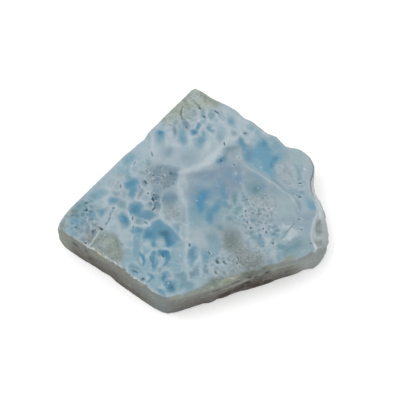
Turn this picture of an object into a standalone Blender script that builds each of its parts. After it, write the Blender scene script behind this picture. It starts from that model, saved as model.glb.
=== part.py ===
"""A slab of larimar, sawn on three sides, broken on one, chipped at one end, polished on top.

It lies on its sawn underside with +Z up. Lengths in this file are millimetres, and POINT_SCALE
turns them into metres. The slab is a loft between three outlines that are not alike: the edge
of the polished face, the widest line of the sides, and the foot that it rests on. Chips, a
hollow where the side broke away, a crack and the pits of the stone are then cut from it.
"""

import math

import bmesh
import bpy
import numpy as np
from mathutils import Matrix, Vector, noise

POINT_SCALE = 0.001
THICKNESS = 6.8
COLUMN_STEP = 1.15
FOOT_BEVEL = 0.25
FOOT_STANDS_OUT = 0.2
SEED = 7.3
SHARP_FROM_DEGREES = 35.0

# The outlines are drawn round a point near the middle of the polished face. This is where
# that point lies, seen from the middle of the finished slab's box.
DRAWN_FROM = (1.5, -3.05)

# Each side of the slab: the edge of the polished face, the widest line with its height, the
# foot, how round the top rim is, how rough the side is, all counter-clockwise from above.
SIDES = {
    "front_left_sawn": {
        "face": [(-32.1, -7.5), (-31.6, -8.0), (-30.6, -8.4), (-29.0, -9.6), (-27.5, -10.8),
                 (-26.2, -11.6), (-25.7, -12.1), (-24.8, -12.4), (-22.7, -13.8), (-21.6, -14.8),
                 (-19.9, -15.9), (-18.8, -16.4), (-17.5, -17.4), (-15.8, -19.0), (-14.4, -20.2),
                 (-13.2, -20.8), (-12.3, -21.5), (-11.0, -22.9), (-9.9, -23.6), (-8.7, -24.3),
                 (-6.8, -24.9)],
        "wide": [(-32.4, -7.5), (-31.6, -8.6), (-29.1, -10.1), (-26.2, -12.1), (-22.8, -14.3),
                 (-19.9, -16.3), (-17.6, -18.0), (-15.0, -20.2), (-12.4, -22.0), (-9.9, -23.9),
                 (-7.0, -25.2)],
        "wide_height": 6.4,
        "foot": [(-32.5, -6.7), (-31.4, -8.4), (-30.7, -9.1), (-28.8, -10.5), (-26.3, -12.3),
                 (-23.0, -14.6), (-20.7, -15.9), (-20.0, -16.5), (-18.7, -17.8), (-15.4, -20.3),
                 (-12.9, -22.2), (-10.4, -24.0), (-8.2, -25.2), (-7.3, -25.4)],
        "round": 0.35,
        "rough": 0.07,
    },
    "front_right_sawn": {
        "face": [(-6.8, -24.9), (-4.8, -24.4), (-2.2, -23.6), (0.1, -22.8), (3.5, -21.7),
                 (6.3, -20.6), (8.0, -20.0), (11.4, -19.0), (13.3, -18.4), (15.4, -17.6),
                 (17.6, -16.8), (20.2, -16.1), (22.5, -15.4), (23.9, -14.6), (25.9, -13.1)],
        "wide": [(-7.0, -25.2), (-4.6, -24.8), (-2.0, -24.0), (3.7, -22.1), (8.3, -20.5),
                 (13.5, -18.8), (17.8, -17.2), (22.6, -15.9), (24.5, -14.9), (26.5, -13.7)],
        "wide_height": 5.9,
        "foot": [(-7.3, -25.4), (-5.6, -25.2), (-2.7, -24.2), (0.6, -23.0), (2.4, -22.8),
                 (3.7, -21.9), (5.7, -21.5), (6.7, -20.8), (9.1, -19.9), (10.6, -19.6),
                 (13.2, -18.7), (15.9, -17.8), (17.3, -17.0), (21.0, -15.9), (22.9, -15.0),
                 (23.9, -14.4), (25.9, -14.2)],
        "round": 1.0,
        "rough": 0.1,
    },
    "right_end_chipped": {
        "face": [(25.9, -13.1), (25.5, -11.6), (25.3, -10.2), (25.4, -8.6), (25.8, -6.6),
                 (26.3, -5.2), (26.9, -4.3), (27.2, -2.7), (27.0, -0.8), (26.3, 1.1), (25.6, 2.9),
                 (25.6, 4.6), (26.2, 6.2), (26.6, 8.2)],
        "wide": [(26.5, -13.7), (28.0, -12.8), (29.0, -11.2), (29.5, -8.9), (29.6, -6.6),
                 (29.6, -4.1), (29.4, -1.8), (28.5, 0.5), (27.8, 2.6), (27.1, 4.6), (26.9, 6.5),
                 (26.9, 8.3)],
        "wide_height": 3.2,
        "foot": [(25.9, -14.2), (27.3, -13.0), (28.4, -11.4), (29.0, -9.4), (29.3, -7.4),
                 (29.3, -5.2), (29.1, -2.8), (28.5, -0.4), (27.8, 1.7), (27.1, 3.8), (26.6, 6.0),
                 (26.5, 8.4)],
        "round": 0.0,
        "rough": 0.22,
    },
    "back_right_broken": {
        "face": [(26.6, 8.2), (26.6, 9.4), (26.3, 10.4), (25.8, 11.6), (25.0, 12.5), (23.9, 13.5),
                 (23.0, 14.1), (21.0, 14.1), (20.1, 14.6), (19.3, 15.4), (18.8, 16.3),
                 (18.1, 17.3), (17.4, 17.8), (16.5, 17.9), (15.1, 19.1), (14.2, 19.9),
                 (12.8, 21.4), (12.1, 22.0), (11.0, 22.3), (10.1, 22.9), (9.4, 24.0), (8.6, 24.9),
                 (7.8, 25.6), (5.5, 27.1), (4.5, 27.7), (3.5, 27.9), (1.8, 29.2), (1.0, 30.1),
                 (-1.1, 31.5)],
        "wide": [(26.9, 8.3), (26.8, 10.0), (26.0, 12.0), (24.2, 13.8), (22.6, 14.5),
                 (20.6, 14.8), (19.3, 16.2), (18.2, 17.8), (16.3, 18.5), (14.5, 20.2),
                 (12.6, 22.1), (10.6, 23.1), (9.2, 25.0), (6.2, 27.0), (4.0, 28.2), (1.5, 30.1),
                 (-1.0, 31.7)],
        "wide_height": 5.9,
        "foot": [(26.5, 8.4), (26.6, 9.9), (25.4, 12.3), (23.6, 13.7), (21.9, 14.8),
                 (20.2, 15.2), (18.6, 16.6), (17.7, 18.0), (15.6, 18.9), (14.0, 20.6),
                 (12.2, 22.1), (10.0, 23.4), (8.4, 25.3), (5.9, 26.8), (3.7, 28.1), (1.6, 29.7),
                 (-1.2, 31.1)],
        "round": 0.5,
        "rough": 0.3,
    },
    "back_left_sawn": {
        "face": [(-1.1, 31.5), (-1.8, 31.2), (-3.4, 29.2), (-4.9, 27.4), (-6.5, 25.7),
                 (-7.9, 24.0), (-9.3, 22.2), (-10.0, 21.0), (-11.2, 19.9), (-12.0, 18.9),
                 (-12.6, 17.4), (-13.1, 16.6), (-14.3, 15.8), (-15.0, 14.8), (-16.0, 13.6),
                 (-17.0, 12.8), (-18.0, 11.7), (-19.0, 10.3), (-21.8, 7.0), (-24.7, 3.7),
                 (-27.2, 0.6), (-30.0, -2.6), (-31.0, -4.1), (-31.8, -5.8), (-32.1, -7.5)],
        "wide": [(-1.0, 31.7), (-2.0, 31.3), (-5.1, 27.5), (-10.2, 21.3), (-12.3, 18.9),
                 (-13.3, 16.8), (-15.2, 14.9), (-18.1, 12.0), (-24.9, 3.9), (-30.2, -2.5),
                 (-32.0, -5.6), (-32.4, -7.5)],
        "wide_height": 6.4,
        "foot": [(-1.2, 31.1), (-2.4, 30.2), (-6.6, 25.3), (-10.2, 20.9), (-12.6, 17.9),
                 (-14.7, 15.3), (-19.0, 10.2), (-23.4, 5.0), (-27.4, 0.4), (-30.2, -2.8),
                 (-31.8, -4.9), (-32.5, -6.7)],
        "round": 0.3,
        "rough": 0.05,
    },
}

RIM_ROWS = 3
SIDE_ROWS = 5
RIM_ROUGHNESS = 0.8
FOOT_ROUGHNESS = 0.5
CURVED_FROM = 0.15

# The sides ripple in slow waves, shorter up and down than along, with finer waves on them.
RIPPLE_LENGTH = 2.6
RIPPLE_SQUASH = 1.4
FINE_RIPPLE = 0.45
FINE_RIPPLE_FACTOR = 2.3

# Pits in the polished face: place, length, width, depth, and the way the length runs, in
# degrees from +X.
FACE_PITS = [
    (-18.4, 3.7, 1.3, 0.5, 0.3, 90),
    (-19.8, -2.1, 1.2, 0.5, 0.3, 5),
    (-15.4, -4.9, 1.3, 0.5, 0.4, 88),
    (-15.2, -7.0, 0.8, 0.5, 0.3, 80),
    (-12.3, -5.9, 1.3, 0.5, 0.4, -38),
    (-26.0, -2.6, 1.0, 0.8, 0.4, 80),
    (-22.4, -7.6, 1.0, 0.7, 0.5, -60),
    (-24.2, -8.2, 1.2, 0.6, 0.4, 85),
    (-12.6, 4.8, 1.5, 0.6, 0.5, -62),
    (-12.0, 1.8, 0.6, 0.5, 0.4, 0),
    (-10.8, 0.2, 1.5, 0.5, 0.5, -70),
    (-10.6, 1.5, 0.7, 0.5, 0.4, 60),
    (-10.6, -2.3, 1.4, 0.5, 0.5, 55),
    (-8.5, 6.4, 0.5, 0.5, 0.3, 0),
    (-6.7, 7.2, 1.0, 0.6, 0.4, -70),
    (-2.4, -11.6, 1.2, 0.5, 0.4, -78),
    (-14.4, -18.3, 1.8, 0.5, 0.4, -24),
    (-12.6, -20.1, 0.8, 0.6, 0.4, 0),
    (-7.2, -21.2, 0.8, 0.5, 0.3, -60),
    (2.1, -13.7, 1.1, 0.5, 0.3, -65),
    (3.9, -15.9, 1.5, 0.7, 0.5, -48),
    (5.5, -16.1, 1.4, 0.5, 0.4, -50),
    (6.5, -15.5, 0.7, 0.6, 0.3, 0),
    (3.5, -18.5, 1.3, 0.6, 0.4, -60),
    (10.8, -5.9, 0.7, 0.5, 0.4, -30),
    (11.6, -7.3, 0.9, 0.7, 0.4, 40),
    (15.0, -6.1, 0.6, 0.5, 0.3, 0),
    (15.0, -8.3, 0.8, 0.5, 0.4, -75),
    (10.5, -2.9, 1.1, 0.5, 0.3, 85),
    (9.6, -4.3, 1.0, 0.5, 0.3, 60),
    (23.1, 0.8, 0.9, 0.5, 0.4, 15),
    (23.3, 4.5, 0.9, 0.5, 0.4, 0),
    (23.0, -7.7, 0.7, 0.5, 0.4, -40),
    (10.7, 18.4, 1.1, 0.7, 0.3, -10),
    (5.8, 15.5, 1.3, 0.5, 0.5, -82),
    (5.0, 10.8, 1.0, 0.4, 0.4, 90),
    (-11.3, 12.6, 2.0, 0.5, 0.4, -76),
    (0.0, 25.7, 1.1, 0.6, 0.4, -62),
    (4.0, 24.6, 1.6, 0.5, 0.4, -50),
    (1.1, 23.2, 1.1, 0.8, 0.3, -50),
]
PIT_RISE = 0.25
PIT_RIPPLE = 0.22

# Cracks and scratches in the polished face: the points of the line, and half its width there.
FACE_CRACKS = {
    "crack_upper": [(-20.1, -2.3, 0.10), (-20.5, -3.9, 0.16), (-20.7, -5.2, 0.20),
                    (-21.2, -6.3, 0.28), (-21.6, -7.3, 0.22)],
    "crack_lower": [(-22.6, -8.1, 0.22), (-23.2, -9.4, 0.26), (-24.0, -10.7, 0.30),
                    (-24.9, -12.9, 0.38)],
    "tip_crack": [(-4.4, 26.1, 0.12), (-4.4, 25.0, 0.24), (-4.5, 23.8, 0.26), (-4.2, 22.4, 0.14)],
    "scratch": [(21.6, -6.4, 0.08), (20.7, -7.2, 0.20), (19.9, -8.0, 0.22), (19.4, -8.8, 0.08)],
}
CRACK_LIFT = 0.06
SEAM_GAP = 0.001

# Hollows where flakes broke from the sides: a point on the side, length, height and depth of
# the hollow, the way the side runs in degrees from +X, the hollow's tilt along the side, and
# how far the broken surface leans back from upright.
SIDE_HOLLOWS = [
    (11.6, -19.4, 3.3, 10.4, 3.9, 1.2, 18.6, 17, 0),
    (5.9, -21.4, 1.6, 5.2, 1.9, 0.7, 19.0, 20, 0),
    (13.9, -18.6, 1.5, 6.6, 2.0, 0.8, 19.0, -4, 0),
    (27.0, -6.7, 5.3, 3.9, 1.9, 0.55, 86.0, 4, 45),
    (27.5, -10.2, 4.7, 1.9, 1.1, 0.4, 76.0, -8, 50),
    (29.5, -3.0, 2.4, 3.4, 2.6, 0.4, 96.0, 12, 8),
    (-24.3, -14.0, 0.8, 7.4, 1.7, 0.5, -34.0, 0, 0),
    (24.6, 13.2, 1.6, 5.6, 4.0, 0.55, 137.0, 12, -10),
    (20.4, 15.0, 2.8, 5.2, 3.4, 0.45, 152.0, -24, 0),
    (15.6, 19.0, 3.2, 6.4, 3.0, 0.55, 134.0, 28, 0),
    (11.2, 22.7, 1.7, 4.6, 4.4, 0.65, 132.0, -14, -8),
    (6.6, 26.4, 3.2, 6.8, 2.8, 0.5, 140.0, 20, 0),
    (2.2, 29.4, 1.6, 3.6, 3.2, 0.5, 146.0, -10, -6),
]
HOLLOW_CURVE = 2.2
HOLLOW_RIPPLE = 0.2
LUMP_WAVES = 1.7

# Pits in the sawn underside.
UNDER_PITS = [
    (-18.0, 2.0, 1.4, 0.6, 0.3, 70),
    (-9.0, -14.0, 1.2, 0.7, 0.3, -40),
    (6.0, -9.0, 1.6, 0.8, 0.4, 20),
    (14.5, 3.5, 1.0, 0.6, 0.3, 0),
    (-2.0, 12.0, 1.8, 0.7, 0.4, -65),
    (2.5, 22.0, 1.2, 0.6, 0.3, 50),
    (20.0, -6.0, 1.3, 0.7, 0.3, -20),
    (-24.5, -5.5, 1.0, 0.6, 0.3, 10),
]


def clear_scene():
    for old in list(bpy.data.objects):
        bpy.data.objects.remove(old, do_unlink=True)


def new_collection(name):
    collection = bpy.data.collections.new(name)
    bpy.context.scene.collection.children.link(collection)
    return collection


def evenly_spaced(points, count):
    """The given number of points along an open line, without its last one."""
    line = np.array(points, float)
    runs = np.linalg.norm(np.diff(line, axis=0), axis=1)
    travelled = np.concatenate([[0.0], np.cumsum(runs)])
    wanted = np.linspace(0.0, travelled[-1], count, endpoint=False)
    return np.stack([np.interp(wanted, travelled, line[:, axis]) for axis in (0, 1)], axis=1)


def line_length(points):
    return np.linalg.norm(np.diff(np.array(points, float), axis=0), axis=1).sum()


def eased_round_corners(values):
    """Values of the columns, mixed with their neighbours so that one side runs into the next."""
    mixed = np.array(values, float)
    for _ in range(3):
        mixed = (np.roll(mixed, 1, axis=0) + 2.0 * mixed + np.roll(mixed, -1, axis=0)) / 4.0
    return mixed


def columns_of_sides():
    """The three outlines with as many points each, and each column's own values."""
    face, wide, foot, height, rounding, rough = [], [], [], [], [], []
    for side in SIDES.values():
        count = max(2, round(line_length(side["face"]) / COLUMN_STEP))
        face.append(evenly_spaced(side["face"], count))
        wide.append(evenly_spaced(side["wide"], count))
        foot.append(evenly_spaced(side["foot"], count))
        height += [side["wide_height"]] * count
        rounding += [side["round"]] * count
        rough += [side["rough"]] * count
    outlines = [np.concatenate(outline) for outline in (face, wide, foot)]
    return outlines, [eased_round_corners(values) for values in (height, rounding, rough)]


def outward_of(outline):
    along = np.roll(outline, -1, axis=0) - np.roll(outline, 1, axis=0)
    outward = np.stack([along[:, 1], -along[:, 0]], axis=1)
    outward = eased_round_corners(outward)
    return outward / np.linalg.norm(outward, axis=1)[:, None]


def side_sections():
    """Rings of points from the edge of the polished face down to the edge of the underside."""
    (face, wide, foot), (height, rounding, rough) = columns_of_sides()
    outward = outward_of(wide)
    foot = foot + outward * FOOT_STANDS_OUT
    sections = []
    for row in range(RIM_ROWS + 1):
        part = row / RIM_ROWS
        curved = rounding > CURVED_FROM
        curved_out = np.where(curved, math.sin(part * math.pi / 2.0), part)
        curved_down = np.where(curved, 1.0 - math.cos(part * math.pi / 2.0), part)
        plan = face + (wide - face) * curved_out[:, None]
        level = THICKNESS - (THICKNESS - height) * curved_down
        sections.append((plan, level, RIM_ROUGHNESS * part))
    for row in range(1, SIDE_ROWS + 1):
        part = row / SIDE_ROWS
        plan = wide + (foot - wide) * part
        level = height + (FOOT_BEVEL - height) * part
        sections.append((plan, level, 1.0 if row < SIDE_ROWS else FOOT_ROUGHNESS))
    sections.append((foot - outward * FOOT_BEVEL, np.zeros(len(foot)), 0.0))
    rings = []
    for plan, level, weight in sections:
        ring = []
        for (x, y), z, (out_x, out_y), amount in zip(plan, level, outward, rough):
            place = Vector((x, y, RIPPLE_SQUASH * z)) / RIPPLE_LENGTH + Vector((SEED, SEED, SEED))
            wave = noise.noise(place) + FINE_RIPPLE * noise.noise(place * FINE_RIPPLE_FACTOR)
            push = amount * weight * wave
            ring.append(Vector((x + push * out_x, y + push * out_y, z)))
        rings.append(ring)
    return rings


def loft(rings):
    """A closed mesh through the rings, with a flat face on its first and last ring."""
    mesh = bmesh.new()
    rows = [[mesh.verts.new(point) for point in ring] for ring in rings]
    count = len(rows[0])
    for upper, lower in zip(rows, rows[1:]):
        for i in range(count):
            j = (i + 1) % count
            mesh.faces.new((upper[i], lower[i], lower[j], upper[j]))
    mesh.faces.new(rows[0])
    mesh.faces.new(list(reversed(rows[-1])))
    bmesh.ops.triangulate(mesh, faces=[face for face in mesh.faces if len(face.verts) == 4])
    bmesh.ops.recalc_face_normals(mesh, faces=mesh.faces)
    return mesh


def object_from(mesh, name, collection):
    """The millimetre mesh as an object in metres, shifted to the middle of the slab."""
    shift = Matrix.Translation((DRAWN_FROM[0], DRAWN_FROM[1], 0.0))
    mesh.transform(Matrix.Scale(POINT_SCALE, 4) @ shift)
    data = bpy.data.meshes.new(name)
    mesh.to_mesh(data)
    mesh.free()
    made = bpy.data.objects.new(name, data)
    collection.objects.link(made)
    return made


def as_cutter(made):
    made.hide_render = True
    made.display_type = "WIRE"
    return made


def turned(turn, tilt=0.0, lean=0.0):
    """The way a lump lies: its length turned from +X and tilted up, and the lump leant back."""
    return (Matrix.Rotation(math.radians(turn), 4, "Z")
            @ Matrix.Rotation(math.radians(-tilt), 4, "Y")
            @ Matrix.Rotation(math.radians(-lean), 4, "X"))


def add_lump(mesh, place, half_sizes, lie, ripple, fineness):
    """Adds one uneven ellipsoid at the place."""
    ball = bmesh.new()
    bmesh.ops.create_icosphere(ball, subdivisions=fineness, radius=1.0)
    for vert in ball.verts:
        wave = noise.noise(vert.co * LUMP_WAVES + Vector(place) + Vector((SEED, 0.0, 0.0)))
        vert.co *= 1.0 + ripple * wave
    ball.transform(Matrix.Translation(place) @ lie @ Matrix.Diagonal(Vector((*half_sizes, 1.0))))
    data = bpy.data.meshes.new("lump")
    ball.to_mesh(data)
    ball.free()
    mesh.from_mesh(data)
    bpy.data.meshes.remove(data)


def make_pit_cutter(name, pits, level, side_of_level, collection):
    """Ellipsoids that dip into the flat face at this level, in one cutter."""
    mesh = bmesh.new()
    for x, y, length, width, depth, turn in pits:
        middle = level + side_of_level * PIT_RISE
        half_height = depth + PIT_RISE
        spread = 1.0 / math.sqrt(1.0 - (PIT_RISE / half_height) ** 2)
        half_sizes = (0.5 * length * spread, 0.5 * width * spread, half_height)
        add_lump(mesh, (x, y, middle), half_sizes, turned(turn), PIT_RIPPLE, 2)
    return as_cutter(object_from(mesh, name, collection))


def make_hollow_cutter(name, collection):
    """Flattened lumps that reach into the sides by each hollow's depth."""
    mesh = bmesh.new()
    stands_off = HOLLOW_CURVE - 1.0
    spread = 1.0 / math.sqrt(1.0 - (stands_off / HOLLOW_CURVE) ** 2)
    for x, y, z, length, height, depth, turn, tilt, lean in SIDE_HOLLOWS:
        lie = turned(turn, tilt, lean)
        outward = (lie @ Vector((0.0, -1.0, 0.0, 0.0))).to_3d()
        place = Vector((x, y, z)) + outward * depth * stands_off
        half_sizes = (0.5 * length * spread, depth * HOLLOW_CURVE, 0.5 * height * spread)
        add_lump(mesh, place, half_sizes, lie, HOLLOW_RIPPLE, 3)
    return as_cutter(object_from(mesh, name, collection))


def make_crack_cutter(name, line, collection):
    """A tube along the crack, as thick as the crack is wide at each point."""
    curve = bpy.data.curves.new(name, "CURVE")
    curve.dimensions = "3D"
    curve.bevel_depth = 1.0
    curve.bevel_resolution = 1
    curve.use_fill_caps = True
    spline = curve.splines.new("POLY")
    spline.points.add(len(line) - 1)
    for point, (x, y, half_width) in zip(spline.points, line):
        point.co = (x, y, THICKNESS + CRACK_LIFT, 1.0)
        point.radius = half_width
    guide = bpy.data.objects.new(name + "_guide", curve)
    collection.objects.link(guide)
    graph = bpy.context.evaluated_depsgraph_get()
    data = bpy.data.meshes.new_from_object(guide.evaluated_get(graph))
    mesh = bmesh.new()
    mesh.from_mesh(data)
    bmesh.ops.remove_doubles(mesh, verts=mesh.verts, dist=SEAM_GAP)
    bmesh.ops.recalc_face_normals(mesh, faces=mesh.faces)
    bpy.data.objects.remove(guide, do_unlink=True)
    return as_cutter(object_from(mesh, name, collection))


def stone_material():
    material = bpy.data.materials.new("larimar_stone")
    material.use_nodes = True
    shader = material.node_tree.nodes["Principled BSDF"]
    shader.inputs["Base Color"].default_value = (0.30, 0.40, 0.46, 1.0)
    shader.inputs["Roughness"].default_value = 0.28
    shader.inputs["Metallic"].default_value = 0.0
    return material


def cut(solid, cutter, crosses_itself=False):
    modifier = solid.modifiers.new("cut_" + cutter.name, "BOOLEAN")
    modifier.operation = "DIFFERENCE"
    modifier.solver = "EXACT"
    modifier.use_self = crosses_itself
    modifier.object = cutter


def make_slab():
    parts = new_collection("larimar_slab")
    cutters = new_collection("larimar_slab_cutters")
    slab = object_from(loft(side_sections()), "larimar_slab", parts)
    slab.data.materials.append(stone_material())
    cut(slab, make_hollow_cutter("side_hollows", cutters), crosses_itself=True)
    cut(slab, make_pit_cutter("face_pits", FACE_PITS, THICKNESS, 1.0, cutters))
    cut(slab, make_pit_cutter("under_pits", UNDER_PITS, 0.0, -1.0, cutters))
    for name, line in FACE_CRACKS.items():
        cut(slab, make_crack_cutter(name, line, cutters))
    slab.data.shade_smooth()
    slab.data.set_sharp_from_angle(angle=math.radians(SHARP_FROM_DEGREES))
    return slab


clear_scene()
make_slab()
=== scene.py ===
# %% [markdown]
# A slab of larimar, seen from the front and from above. Larimar is a blue stone that grew in
# the gas holes of an old lava, so its blue comes as cells with white walls between them, and
# grey and green matrix fills the rest. The slab is sawn, and only its top is polished.
# The solid model of the slab is the frame here: it gives the outline, the thickness and the
# large pits. This script gives it a fine surface, its markings and its finish.

# %% Load the slab's frame
import math

import bmesh
import bpy
import numpy as np
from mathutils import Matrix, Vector, noise
from mathutils.bvhtree import BVHTree
from mathutils.kdtree import KDTree


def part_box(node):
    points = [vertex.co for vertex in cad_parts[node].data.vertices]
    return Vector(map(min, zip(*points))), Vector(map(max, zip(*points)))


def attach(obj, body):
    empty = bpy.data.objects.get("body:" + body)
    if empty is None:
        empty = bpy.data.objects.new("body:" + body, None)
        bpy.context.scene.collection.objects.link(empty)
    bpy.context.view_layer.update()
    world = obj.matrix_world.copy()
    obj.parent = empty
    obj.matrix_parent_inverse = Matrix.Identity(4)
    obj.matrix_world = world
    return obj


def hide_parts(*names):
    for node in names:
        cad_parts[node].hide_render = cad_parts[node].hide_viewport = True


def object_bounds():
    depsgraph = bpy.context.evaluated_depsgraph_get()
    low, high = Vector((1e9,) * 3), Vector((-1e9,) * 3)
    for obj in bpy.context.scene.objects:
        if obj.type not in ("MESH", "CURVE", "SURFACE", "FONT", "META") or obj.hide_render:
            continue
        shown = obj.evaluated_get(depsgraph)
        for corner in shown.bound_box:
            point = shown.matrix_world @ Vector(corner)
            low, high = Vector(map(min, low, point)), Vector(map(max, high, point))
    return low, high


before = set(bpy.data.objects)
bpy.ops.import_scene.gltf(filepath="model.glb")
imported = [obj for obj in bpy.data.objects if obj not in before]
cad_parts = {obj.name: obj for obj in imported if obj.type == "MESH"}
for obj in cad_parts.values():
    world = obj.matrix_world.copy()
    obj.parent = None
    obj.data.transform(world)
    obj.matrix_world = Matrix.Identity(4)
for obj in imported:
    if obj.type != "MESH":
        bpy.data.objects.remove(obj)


def plain_box(bounds):
    return [[float(value) for value in corner] for corner in bounds]


MM = 0.001
solid_box = plain_box(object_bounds())
slab_low, slab_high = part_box("larimar_slab")
THICKNESS = (slab_high[2] - slab_low[2]) / MM
print("slab box, mm:", [round((b - a) / MM, 1) for a, b in zip(slab_low, slab_high)])

# %% [markdown]
# The photographer held the camera above the slab's front edge and looked down at 60 degrees.
# A 100 mm lens from a quarter of a metre away gives the slab's nearly parallel edges. The
# point that the camera looks at is also the middle of the map that the markings are drawn on,
# so a place that is read off the map needs no other sum than this shift.

# %% Place the camera
MAP_MIDDLE = (1.5, -3.05)
LOOKS_DOWN = 60.0
CAMERA_DISTANCE = 256.02
LENS = 100.0
SENSOR = 36.0


def add_object(name, data):
    made = bpy.data.objects.new(name, data)
    bpy.context.collection.objects.link(made)
    return made


def aim_camera():
    data = bpy.data.cameras.new("photo_camera")
    data.lens = LENS
    data.sensor_width = SENSOR
    camera = add_object("photo_camera", data)
    fall = math.radians(LOOKS_DOWN)
    camera.location = (
        MAP_MIDDLE[0] * MM,
        (MAP_MIDDLE[1] - CAMERA_DISTANCE * math.cos(fall)) * MM,
        (THICKNESS + CAMERA_DISTANCE * math.sin(fall)) * MM,
    )
    camera.rotation_euler = (math.radians(90.0 - LOOKS_DOWN), 0.0, 0.0)
    bpy.context.scene.camera = camera
    return camera


camera = aim_camera()
print("camera at, mm:", [round(value / MM, 1) for value in camera.location])

# %% [markdown]
# Two helpers serve nearly every step. One blends softly from 0 to 1 between two values, as a
# brush fades at its rim. The other is a cloud: smooth random values that change over a chosen
# length, so that edges wander as they do in a stone that grew.

# %% Blend and cloud helpers


def fade(values, low, high):
    part = np.clip((values - low) / (high - low), 0.0, 1.0)
    return part * part * (3.0 - 2.0 * part)


def cloud(points, size, seed):
    shift = Vector((seed, 0.37 * seed, -0.61 * seed))
    return np.array([noise.noise(Vector(point) / size + shift) for point in points])


# %% [markdown]
# The solid has long thin triangles, too few to carry pits with crumbling rims or markings a
# quarter of a millimetre wide. A voxel remesh lays an even net of small squares over the same
# shape. Cutting the triangles smaller would keep their uneven sizes, so the remesh is better,
# although it dulls sharp edges by a quarter of a millimetre, which suits a stone's worn edge.

# %% Lay an even net over the slab
NET_SIZE = 0.255


def after_modifiers(holder):
    """The mesh that an object's modifiers make; the object itself is cleared away."""
    graph = bpy.context.evaluated_depsgraph_get()
    data = bpy.data.meshes.new_from_object(holder.evaluated_get(graph))
    bpy.data.objects.remove(holder, do_unlink=True)
    return data


def net_over(solid, size):
    copy = add_object("net_source", solid.data.copy())
    remesh = copy.modifiers.new("even_net", "REMESH")
    remesh.mode = "VOXEL"
    remesh.voxel_size = size * MM
    return after_modifiers(copy)


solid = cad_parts["larimar_slab"]
stone_mesh = net_over(solid, NET_SIZE)
print("net:", len(stone_mesh.vertices), "points")

# %% [markdown]
# The underside is flat and rarely seen, so most of its points are taken away again. Decimate
# merges the edges that change the shape least, and a vertex group keeps it off the top and
# the sides, where the points carry the markings.

# %% Thin out the underside
UNDERSIDE_KEPT = 0.14
UNDERSIDE_LEVEL = 0.02
FACING_DOWN = -0.9
GROUP_PULL = 100.0


def is_underside(vertex):
    return vertex.co.z < UNDERSIDE_LEVEL * MM and vertex.normal.z < FACING_DOWN


def thin_underside(data):
    holder = add_object("thinning", data)
    group = holder.vertex_groups.new(name="underside")
    under = [vertex.index for vertex in data.vertices if is_underside(vertex)]
    group.add(under, 1.0, "REPLACE")
    share = len(under) / len(data.vertices)
    decimate = holder.modifiers.new("thin", "DECIMATE")
    decimate.vertex_group = group.name
    decimate.vertex_group_factor = GROUP_PULL
    decimate.ratio = 1.0 - share * (1.0 - UNDERSIDE_KEPT)
    return after_modifiers(holder)


stone_mesh = thin_underside(stone_mesh)
print("after thinning:", len(stone_mesh.vertices), "points")

# %% [markdown]
# The rim is where the polish ends, so many steps need to know how far a point is from it. The
# slab is seen from above as one rounded shape without bays, so the rim is found by going
# round it: of the points at the face's level, the farthest in each direction is on the rim.

# %% Find the rim of the polished face
RIM_DIRECTIONS = 240
RIM_LEVEL = 0.01


def mesh_points(data):
    """A mesh's points, one row each, in mm."""
    flat = np.empty(len(data.vertices) * 3)
    data.vertices.foreach_get("co", flat)
    return flat.reshape(-1, 3) / MM


def rim_of(data):
    spots = mesh_points(data)
    spots = spots[spots[:, 2] > THICKNESS - RIM_LEVEL][:, :2]
    away = spots - np.array(MAP_MIDDLE)
    turn = np.arctan2(away[:, 1], away[:, 0])
    bins = ((turn + math.pi) / (2.0 * math.pi) * RIM_DIRECTIONS).astype(int) % RIM_DIRECTIONS
    reach = np.hypot(away[:, 0], away[:, 1])
    rim = []
    for direction in range(RIM_DIRECTIONS):
        here = np.flatnonzero(bins == direction)
        if len(here):
            rim.append(spots[here[np.argmax(reach[here])]])
    return np.array(rim)


solid_rim = rim_of(stone_mesh)
print("rim points:", len(solid_rim))

# %% [markdown]
# Two measures on the map are used from here on. One tells how deep inside an outline a place
# lies, and it serves the rim now and the fields of colour later. It goes round the outline,
# keeps the nearest edge, and counts crossings to tell the inside from the outside. The other
# measures ovals, which stand for pits and for cells.

# %% Measure places on the map
FAR_AWAY = 1e9
NO_LENGTH = 1e-12


def beside(x, y, start, end):
    """How far along a straight stretch places lie, from 0 to 1, and how far off it, in mm."""
    (ax, ay), (bx, by) = start, end
    run = max((bx - ax) ** 2 + (by - ay) ** 2, NO_LENGTH)
    part = np.clip(((x - ax) * (bx - ax) + (y - ay) * (by - ay)) / run, 0.0, 1.0)
    return part, np.hypot(x - ax - part * (bx - ax), y - ay - part * (by - ay))


def depth_inside(x, y, outline):
    """Distance to an outline in mm, positive inside it."""
    corners = np.array(outline, float)
    nearest = np.full(len(x), FAR_AWAY)
    inside = np.zeros(len(x), bool)
    for start, end in zip(corners, np.roll(corners, -1, axis=0)):
        nearest = np.minimum(nearest, beside(x, y, start, end)[1])
        (ax, ay), (bx, by) = start, end
        if ay != by:
            crosses = (ay > y) != (by > y)
            inside ^= crosses & (x < (bx - ax) * (y - ay) / (by - ay) + ax)
    return np.where(inside, nearest, -nearest)


def across(x, y, oval):
    """Reach of places in an oval's own measure: 0 in its middle, 1 on its edge."""
    cx, cy, length, width, turn = oval
    along = math.radians(turn)
    dx, dy = x - cx, y - cy
    u = dx * math.cos(along) + dy * math.sin(along)
    v = dy * math.cos(along) - dx * math.sin(along)
    return np.hypot(u / (0.5 * length), v / (0.5 * width))


middle_x, middle_y = np.array(MAP_MIDDLE).reshape(2, 1)
print("map's middle inside the rim, mm:", depth_inside(middle_x, middle_y, solid_rim).round(1))

# %% [markdown]
# Small pits that the solid leaves out are listed here: place on the map, length, width, depth
# and turn. Round all pits, large and small, the net is made finer twice, so that a pit half a
# millimetre wide has a rim and a bottom of its own.

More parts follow.
